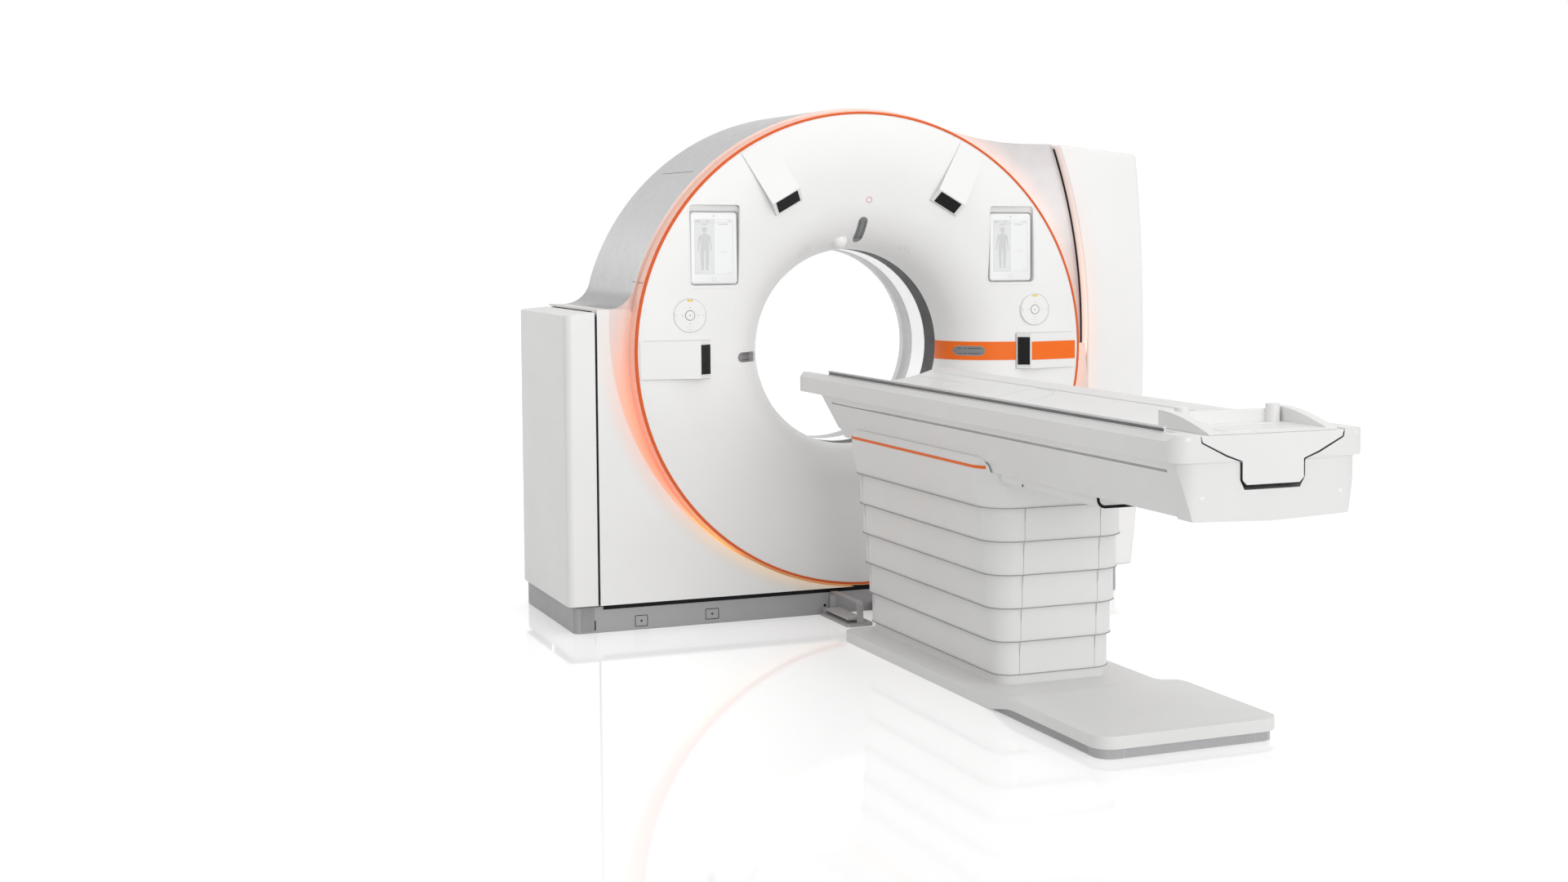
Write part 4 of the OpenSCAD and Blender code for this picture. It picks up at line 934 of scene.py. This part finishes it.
# %% Silver ring at the rear of the bore, painted shade
# The ring's darker grey stands in for the shade that falls on the rear end of the bore: painted shade.
RING_STEPS = ((-0.100, -0.0004), (-0.0985, 0.0012), (-0.002, 0.0012), (0.0, -0.0004))
liner_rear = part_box("bore_liner")[1].y
bm = bmesh.new()
rows = []
for y, step in RING_STEPS:
    circle = circle_points(0.0, ISO, BORE_RADIUS - step, 96)
    rows.append(ring_of(bm, [Vector((x, liner_rear + y, z)) for x, z in circle]))
for first, second in zip(rows, rows[1:]):
    skin_between(bm, first, second)
make("rear_bore_shade_ring", bm, "gantry", "silver_cover")
print("rear ring ends at y", round(liner_rear, 3))

# %% Orange field on the right side pod
FIELD_LEFT, FIELD_RIGHT, FIELD_LOW, FIELD_H = 0.7275, 0.951, 1.029, 0.078
pod_surface = surface("side_pod_right")
bm = bmesh.new()
columns = []
for i in range(15):
    x = FIELD_LEFT + (FIELD_RIGHT - FIELD_LEFT) * i / 14
    seats = [seat(pod_surface, (x, -0.6, FIELD_LOW + FIELD_H * k / 6), Y) for k in range(7)]
    columns.append(ring_of(bm, [p + n * 0.0005 for p, n in seats]))
for first, second in zip(columns, columns[1:]):
    skin_between(bm, first, second, closed=False)
make("pod_orange_field", bm, "gantry", "orange")
print("orange field columns", len(columns))

# %% [markdown]
# ## Details of the plinth
# Two small framed plates, a slit and a row of ribs at the corner.

# %% Dress the plinth
FRAMES = ((-0.956, 0.0346, 0.049, 0.043), (-0.666, 0.0395, 0.054, 0.041))
SLIT_X, SLIT_LOW, SLIT_HIGH = -1.1405, 0.011, 0.049
DOT_X, DOT_Z = -0.186, 0.037
RIB_X, RIB_PITCH, RIB_COUNT = -1.195, 0.0046, 12
on_plinth = on_front(plinth_front)
bm = bmesh.new()
for x, z, width, height in FRAMES:
    draw(bm, rounded(x, z, width, height, 0.003, 3), on_plinth, 0.0030, 0.0008)
    plate(bm, circle_points(x, z, 0.004, 12), on_plinth, 0.0008)
draw(bm, ((SLIT_X, SLIT_LOW), (SLIT_X, SLIT_HIGH)), on_plinth, 0.006, 0.0006, closed=False)
plate(bm, circle_points(DOT_X, DOT_Z, 0.006, 16), on_plinth, 0.0005)
make("plinth_marks", bm, "gantry", "dark_block", LIP)
bm = bmesh.new()
for i in range(RIB_COUNT):
    x = RIB_X + i * RIB_PITCH
    draw(bm, ((x, 0.006), (x, 0.100)), on_plinth, 0.0026, 0.0010, closed=False)
make("plinth_ribs", bm, "gantry", "grey_base", inks["seam"])
print("plinth ribs", RIB_COUNT)

# %% [markdown]
# ## Details of the stand
# Each telescoping shell is folded from four panels, so thin seams run down near its corners, and a dark ring
# at the foot of each shell paints the shade in the gap to the next shell. The grey skirt under the foot plate
# is ribbed, which is what makes it look darker than smooth plastic.

# %% Seams and painted shade rings of the shells
SHELL_CORNER, CORNER_STEP = 0.125, 0.011
SHADE_RING_IN, HEAD_SHADE_RING_OUT = 0.004, 0.007


def shell_seams(name, corner):
    low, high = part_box(name)
    skin = surface(name)
    levels = (low.z + 0.002, (low.z + high.z) / 2, high.z - 0.004)
    rays = [((x, low.y - 0.5), Y) for x in (low.x + corner, high.x - corner)]
    rays += [((side * 0.9, high.y - corner), -X * side) for side in (-1, 1)]
    bm = bmesh.new()
    for (x, y), direction in rays:
        ridge(bm, [seat(skin, (x, y, z), direction) for z in levels], 0.0016, 0.0002)
    make(name + "_seams", bm, body_of[name], "dark_block", inks["seam"])


# A dark ring under a shell's lower edge paints the shade in the gap to the next shell.
def shade_ring(name, body, around, inset, corner, height):
    low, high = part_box(around)
    width, length = high.x - low.x - 2 * inset, high.y - low.y - 2 * inset
    loop = rounded(0.0, (low.y + high.y) / 2, width, length, corner - inset)
    bm = bmesh.new()
    ridge(bm, [(Vector((x, y, height)), -Z) for x, y in loop], 0.004, 0.0016, closed=True)
    make(name, bm, body, "dark_block", inks["shade_ring"])


for i in range(5):
    name = "shell_%d" % (i + 1)
    corner = SHELL_CORNER - CORNER_STEP * i
    shell_seams(name, corner)
    shade_ring(name + "_wiper", body_of[name], name, SHADE_RING_IN, corner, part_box(name)[0].z)
    if name == "shell_1":
        shade_ring("head_shade_ring", "lift", name, -HEAD_SHADE_RING_OUT, corner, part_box("lift_head")[0].z)
print("shells dressed")

# %% Ribs of the skirt
SKIRT_PITCH, SKIRT_SIDE_RIBS, SKIRT_END_RIBS, SKIRT_FLAT_RIBS = 0.006, 118, 44, 38
CORNER_LEAN = 0.35
SKIRT_LEVELS = (0.004, 0.010, 0.016, 0.022, 0.029)
skirt = surface("foot_skirt")
end_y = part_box("foot_skirt")[0].y
rays = []
for side in (-1, 1):
    rays += [((side, end_y + 0.09 + i * SKIRT_PITCH), -X * side) for i in range(SKIRT_SIDE_RIBS)]
for i in range(-SKIRT_END_RIBS, SKIRT_END_RIBS + 1):
    lean = 0.0 if abs(i) < SKIRT_FLAT_RIBS else -math.copysign(CORNER_LEAN, i)
    rays.append(((i * SKIRT_PITCH - 0.4 * lean, end_y - 0.38), Vector((lean, 1.0, 0.0))))
bm = bmesh.new()
for (x, y), direction in rays:
    levels = [z for z in SKIRT_LEVELS if skirt.ray_cast(Vector((x, y, z)), direction)[0]]
    if len(levels) > 1:
        ridge(bm, [seat(skirt, (x, y, z), direction) for z in (levels[0], levels[-1])], 0.0032, 0.0010)
make("skirt_ribs", bm, "gantry", "grey_base", special["foot_skirt"])
print("skirt rays", len(rays))

# %% [markdown]
# ## The foot end of the table
# The lower half of the end cap steps back a little below its rim, which gives the rim a shadow. Two cuts
# add the edges for that step, and the points below them move inwards. Four screw caps sit on the face.

# %% Step and screws of the end cap
STEP, STEP_Z, STEP_SLOPE = 0.007, 0.928, 0.006
UPPER_SCREWS, LOWER_SCREWS = (0.278, 0.997), (0.229, 0.831)
bm = bmesh.new()
bm.from_mesh(soft["end_cap"].data)
for height in (STEP_Z + STEP_SLOPE, STEP_Z):
    everything = bm.verts[:] + bm.edges[:] + bm.faces[:]
    bmesh.ops.bisect_plane(bm, geom=everything, plane_co=(0, 0, height), plane_no=(0, 0, 1))
for vert in bm.verts:
    if vert.co.z < STEP_Z + 0.0005 and vert.co.y < foot_y + 0.05:
        vert.co.y += STEP
bm.to_mesh(soft["end_cap"].data)
bm.free()

cap = surface("end_cap")
bm = bmesh.new()
for (x, z), sink, height in ((UPPER_SCREWS, 0.0002, 0.0010), (LOWER_SCREWS, STEP, 0.0018)):
    for side in (-1, 1):
        point, normal = seat(cap, (side * x, -4.2, z), Y)
        dome(bm, point + Y * sink, normal, 0.008, height)
make("cap_screws", bm, "lift", "white_cover", inks["screw"])
print("end cap stepped by", STEP * 1000, "mm")

# %% [markdown]
# ## Rail and chin of the table
# The accessory rail has a groove, and a dark strip in it paints its shade. The fairing under the table is
# longer and deeper than its solid: it is skinned over four outlines with round lower corners, and a black
# strip at its foot end paints the shadow of the gap behind it.

# %% Painted shade in the groove of the rail
rail_low, rail_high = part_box("side_rails")
groove_x, groove_z = rail_low.x + 0.003, (rail_low.z + rail_high.z) / 2
groove = [(Vector((groove_x, y, groove_z)), -X) for y in (rail_low.y + 0.001, rail_high.y - 0.001)]
bm = bmesh.new()
ridge(bm, groove, 0.0115, 0.0004)
make("rail_shadow", bm, "lift", "dark_block", inks["ink"])
print("rail groove at z", round(groove_z, 3))

# %% Fairing under the table
CHIN_TOP, CHIN_CORNER = 0.7718, 0.024
CHIN_ROWS = ((-2.158, 0.247, 0.034), (-2.45, 0.243, 0.038), (-2.80, 0.238, 0.038), (-2.835, 0.233, 0.034))
CHIN_TURNS = (0.0, 0.4, 0.8, 1.2, math.pi / 2)


def chin_row(y, half, depth):
    centre_x, centre_z = -half + CHIN_CORNER, CHIN_TOP - depth + CHIN_CORNER
    left = [(-half, CHIN_TOP)]
    for a in CHIN_TURNS:
        left.append((centre_x - CHIN_CORNER * math.cos(a), centre_z - CHIN_CORNER * math.sin(a)))
    return [Vector((x, y, z)) for x, z in left + [(-x, z) for x, z in left[::-1]]]


bm = bmesh.new()
slab(bm, [chin_row(*row) for row in CHIN_ROWS])
chin = make("chin_fairing", bm, "lift", "white_cover", None, 50.0)
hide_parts("belly_cover")
print("chin", len(chin.data.polygons), "faces")

# %% Painted shadow and screw of the fairing
foot_end = chin_row(*CHIN_ROWS[-1])[:6]
edge = foot_end + [Vector((x, foot_end[0].y, foot_end[-1].z)) for x in (-0.17, -0.10)]
bm = bmesh.new()
ridge(bm, [(p, -Y) for p in edge], 0.010, 0.002)
make("chin_shadow_strip", bm, "lift", "dark_block", LIP)
bm = bmesh.new()
dome(bm, Vector((-0.2448, -2.32, 0.750)), -X, 0.005, 0.001, 12)
make("chin_screw", bm, "lift", "dark_block", inks["ink"])
print("chin slot points", len(edge))

# %% [markdown]
# ## The lying surface, the tray and the pedal
# Faint outlines of pads are printed on the hollow lying surface. A line between two far points would cut
# through the hollow, so each outline is first divided into short steps and then dropped on the surface.

# %% Outlines on the cradle and the tray
PAD_HALF = [(0.187, -1.40), (0.226, -1.445), (0.226, -1.605), (0.187, -1.65)]
WINDOW_HALF = [(0.176, -0.42), (0.176, -0.90)]
TRAY_X, TRAY_NEAR, TRAY_FAR = 0.14, 0.03, 0.21


def mirrored(half):
    return half + [(-x, y) for x, y in half[::-1]]


def dropped_on(name):
    tree = surface(name)
    return lambda x, y: seat(tree, (x, y, 1.6), -Z)


def fine(points, step=0.02):
    result = []
    for a, b in zip(points, points[1:] + points[:1]):
        count = max(1, int((b - a).length / step))
        result += [a.lerp(b, k / count) for k in range(count)]
    return result


bm = bmesh.new()
for half in (PAD_HALF, WINDOW_HALF):
    outline = fine(round_off(mirrored(half), 0.014, closed=True))
    draw(bm, outline, dropped_on("cradle"), 0.0026, 0.0002)
make("cradle_outlines", bm, body_of["cradle"], "cradle_top", inks["pale_ink"])

tray_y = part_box("foot_tray")[0].y
tray_half = [(TRAY_X, tray_y + TRAY_NEAR), (TRAY_X, tray_y + TRAY_FAR)]
bm = bmesh.new()
draw(bm, fine(round_off(mirrored(tray_half), 0.03, closed=True)), dropped_on("foot_tray"), 0.008, 0.0016)
make("tray_floor_bead", bm, body_of["foot_tray"], "white_cover")
print("outlines on cradle and tray made")

# %% Studs of the pedal
STUD_PITCH_X, STUD_PITCH_Y, STUDS_ACROSS, STUDS_ALONG = 0.012, 0.0135, 5, 16
pedal_low, pedal_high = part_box("switch_pedal")
soft["switch_pedal"].data.materials[0] = inks["pedal"]
bm = bmesh.new()
for i in range(STUDS_ACROSS):
    for k in range(STUDS_ALONG):
        x = pedal_low.x + 0.014 + i * STUD_PITCH_X
        y = pedal_low.y + 0.030 + k * STUD_PITCH_Y
        dome(bm, Vector((x, y, pedal_high.z)), Z, 0.0035, 0.0006, 10)
make("pedal_studs", bm, body_of["switch_pedal"], "dark_block", inks["pale_ink"])
print("pedal studs", STUDS_ACROSS * STUDS_ALONG)

# %% [markdown]
# ## Floor, backdrop and light
# The studio is white. The floor keeps a soft shadow and a faint mirror image, as polished resin does.
# It looks white to the camera because a little light is added for camera rays only, so that the
# object itself is still lit at a plain level.

# %% Make the floor
def camera_white(tree, strength):
    path = add(tree, "ShaderNodeLightPath")
    seen = math_node(tree, "MAXIMUM", path.outputs["Is Camera Ray"], path.outputs["Is Glossy Ray"])
    seen = math_node(tree, "MAXIMUM", seen, path.outputs["Is Transmission Ray"])
    return math_node(tree, "MULTIPLY", seen, strength)


bpy.ops.mesh.primitive_plane_add(size=120.0, location=(0.0, 0.0, 0.0))
floor = bpy.context.object
floor.name = "studio_floor"
floor_material, tree, shader = new_material("studio_floor_resin")
tint = ramp(tree, noise(tree, 0.35), [(0.3, (0.86, 0.86, 0.86)), (0.7, (0.88, 0.88, 0.88))])
tree.links.new(tint, shader.inputs["Base Color"])
shader.inputs["Roughness"].default_value = 0.06
shader.inputs["Specular IOR Level"].default_value = 0.35
shader.inputs["Emission Color"].default_value = (1.0, 1.0, 1.0, 1.0)
tree.links.new(camera_white(tree, 0.32), shader.inputs["Emission Strength"])
floor.data.materials.append(floor_material)
print("floor", floor.name)

# %% [markdown]
# ## Light
# Two soft boxes light the object from above and behind, and two broad suns fill it from the front. A sun
# is equally strong everywhere, so the far end of the table is as bright as the gantry, and its wide angle
# keeps the shadows soft.

# %% Light the studio
world = bpy.data.worlds.new("studio_world")
bpy.context.scene.world = world
world.use_nodes = True
tree = world.node_tree
backdrop = tree.nodes["Background"]
backdrop.inputs["Color"].default_value = (1.0, 1.0, 1.0, 1.0)
strength = math_node(tree, "MAXIMUM", camera_white(tree, 1.0), 0.55)
tree.links.new(strength, backdrop.inputs["Strength"])


def soft_box(name, place, target, size, power):
    lamp = bpy.data.lights.new(name, "AREA")
    lamp.shape = "RECTANGLE"
    lamp.size, lamp.size_y = size
    lamp.energy = power
    obj = bpy.data.objects.new(name, lamp)
    obj.location = place
    obj.rotation_euler = (Vector(target) - Vector(place)).to_track_quat("-Z", "Y").to_euler()
    bpy.context.scene.collection.objects.link(obj)


soft_box("ceiling_light", (0.6, -3.2, 5.6), (0.2, -2.2, 0.6), (5.5, 5.5), 85.0)
soft_box("rear_light", (-6.0, 9.0, 3.6), (-0.4, 0.2, 1.2), (4.0, 3.0), 90.0)


def broad_sun(name, travel, strength, spread):
    lamp = bpy.data.lights.new(name, "SUN")
    lamp.energy = strength
    lamp.angle = math.radians(spread)
    obj = bpy.data.objects.new(name, lamp)
    obj.rotation_euler = Vector(travel).to_track_quat("-Z", "Y").to_euler()
    bpy.context.scene.collection.objects.link(obj)


broad_sun("front_light", (-0.30, 0.92, -0.24), 0.71, 45.0)
broad_sun("low_fill", (0.14, 0.98, -0.06), 0.60, 35.0)
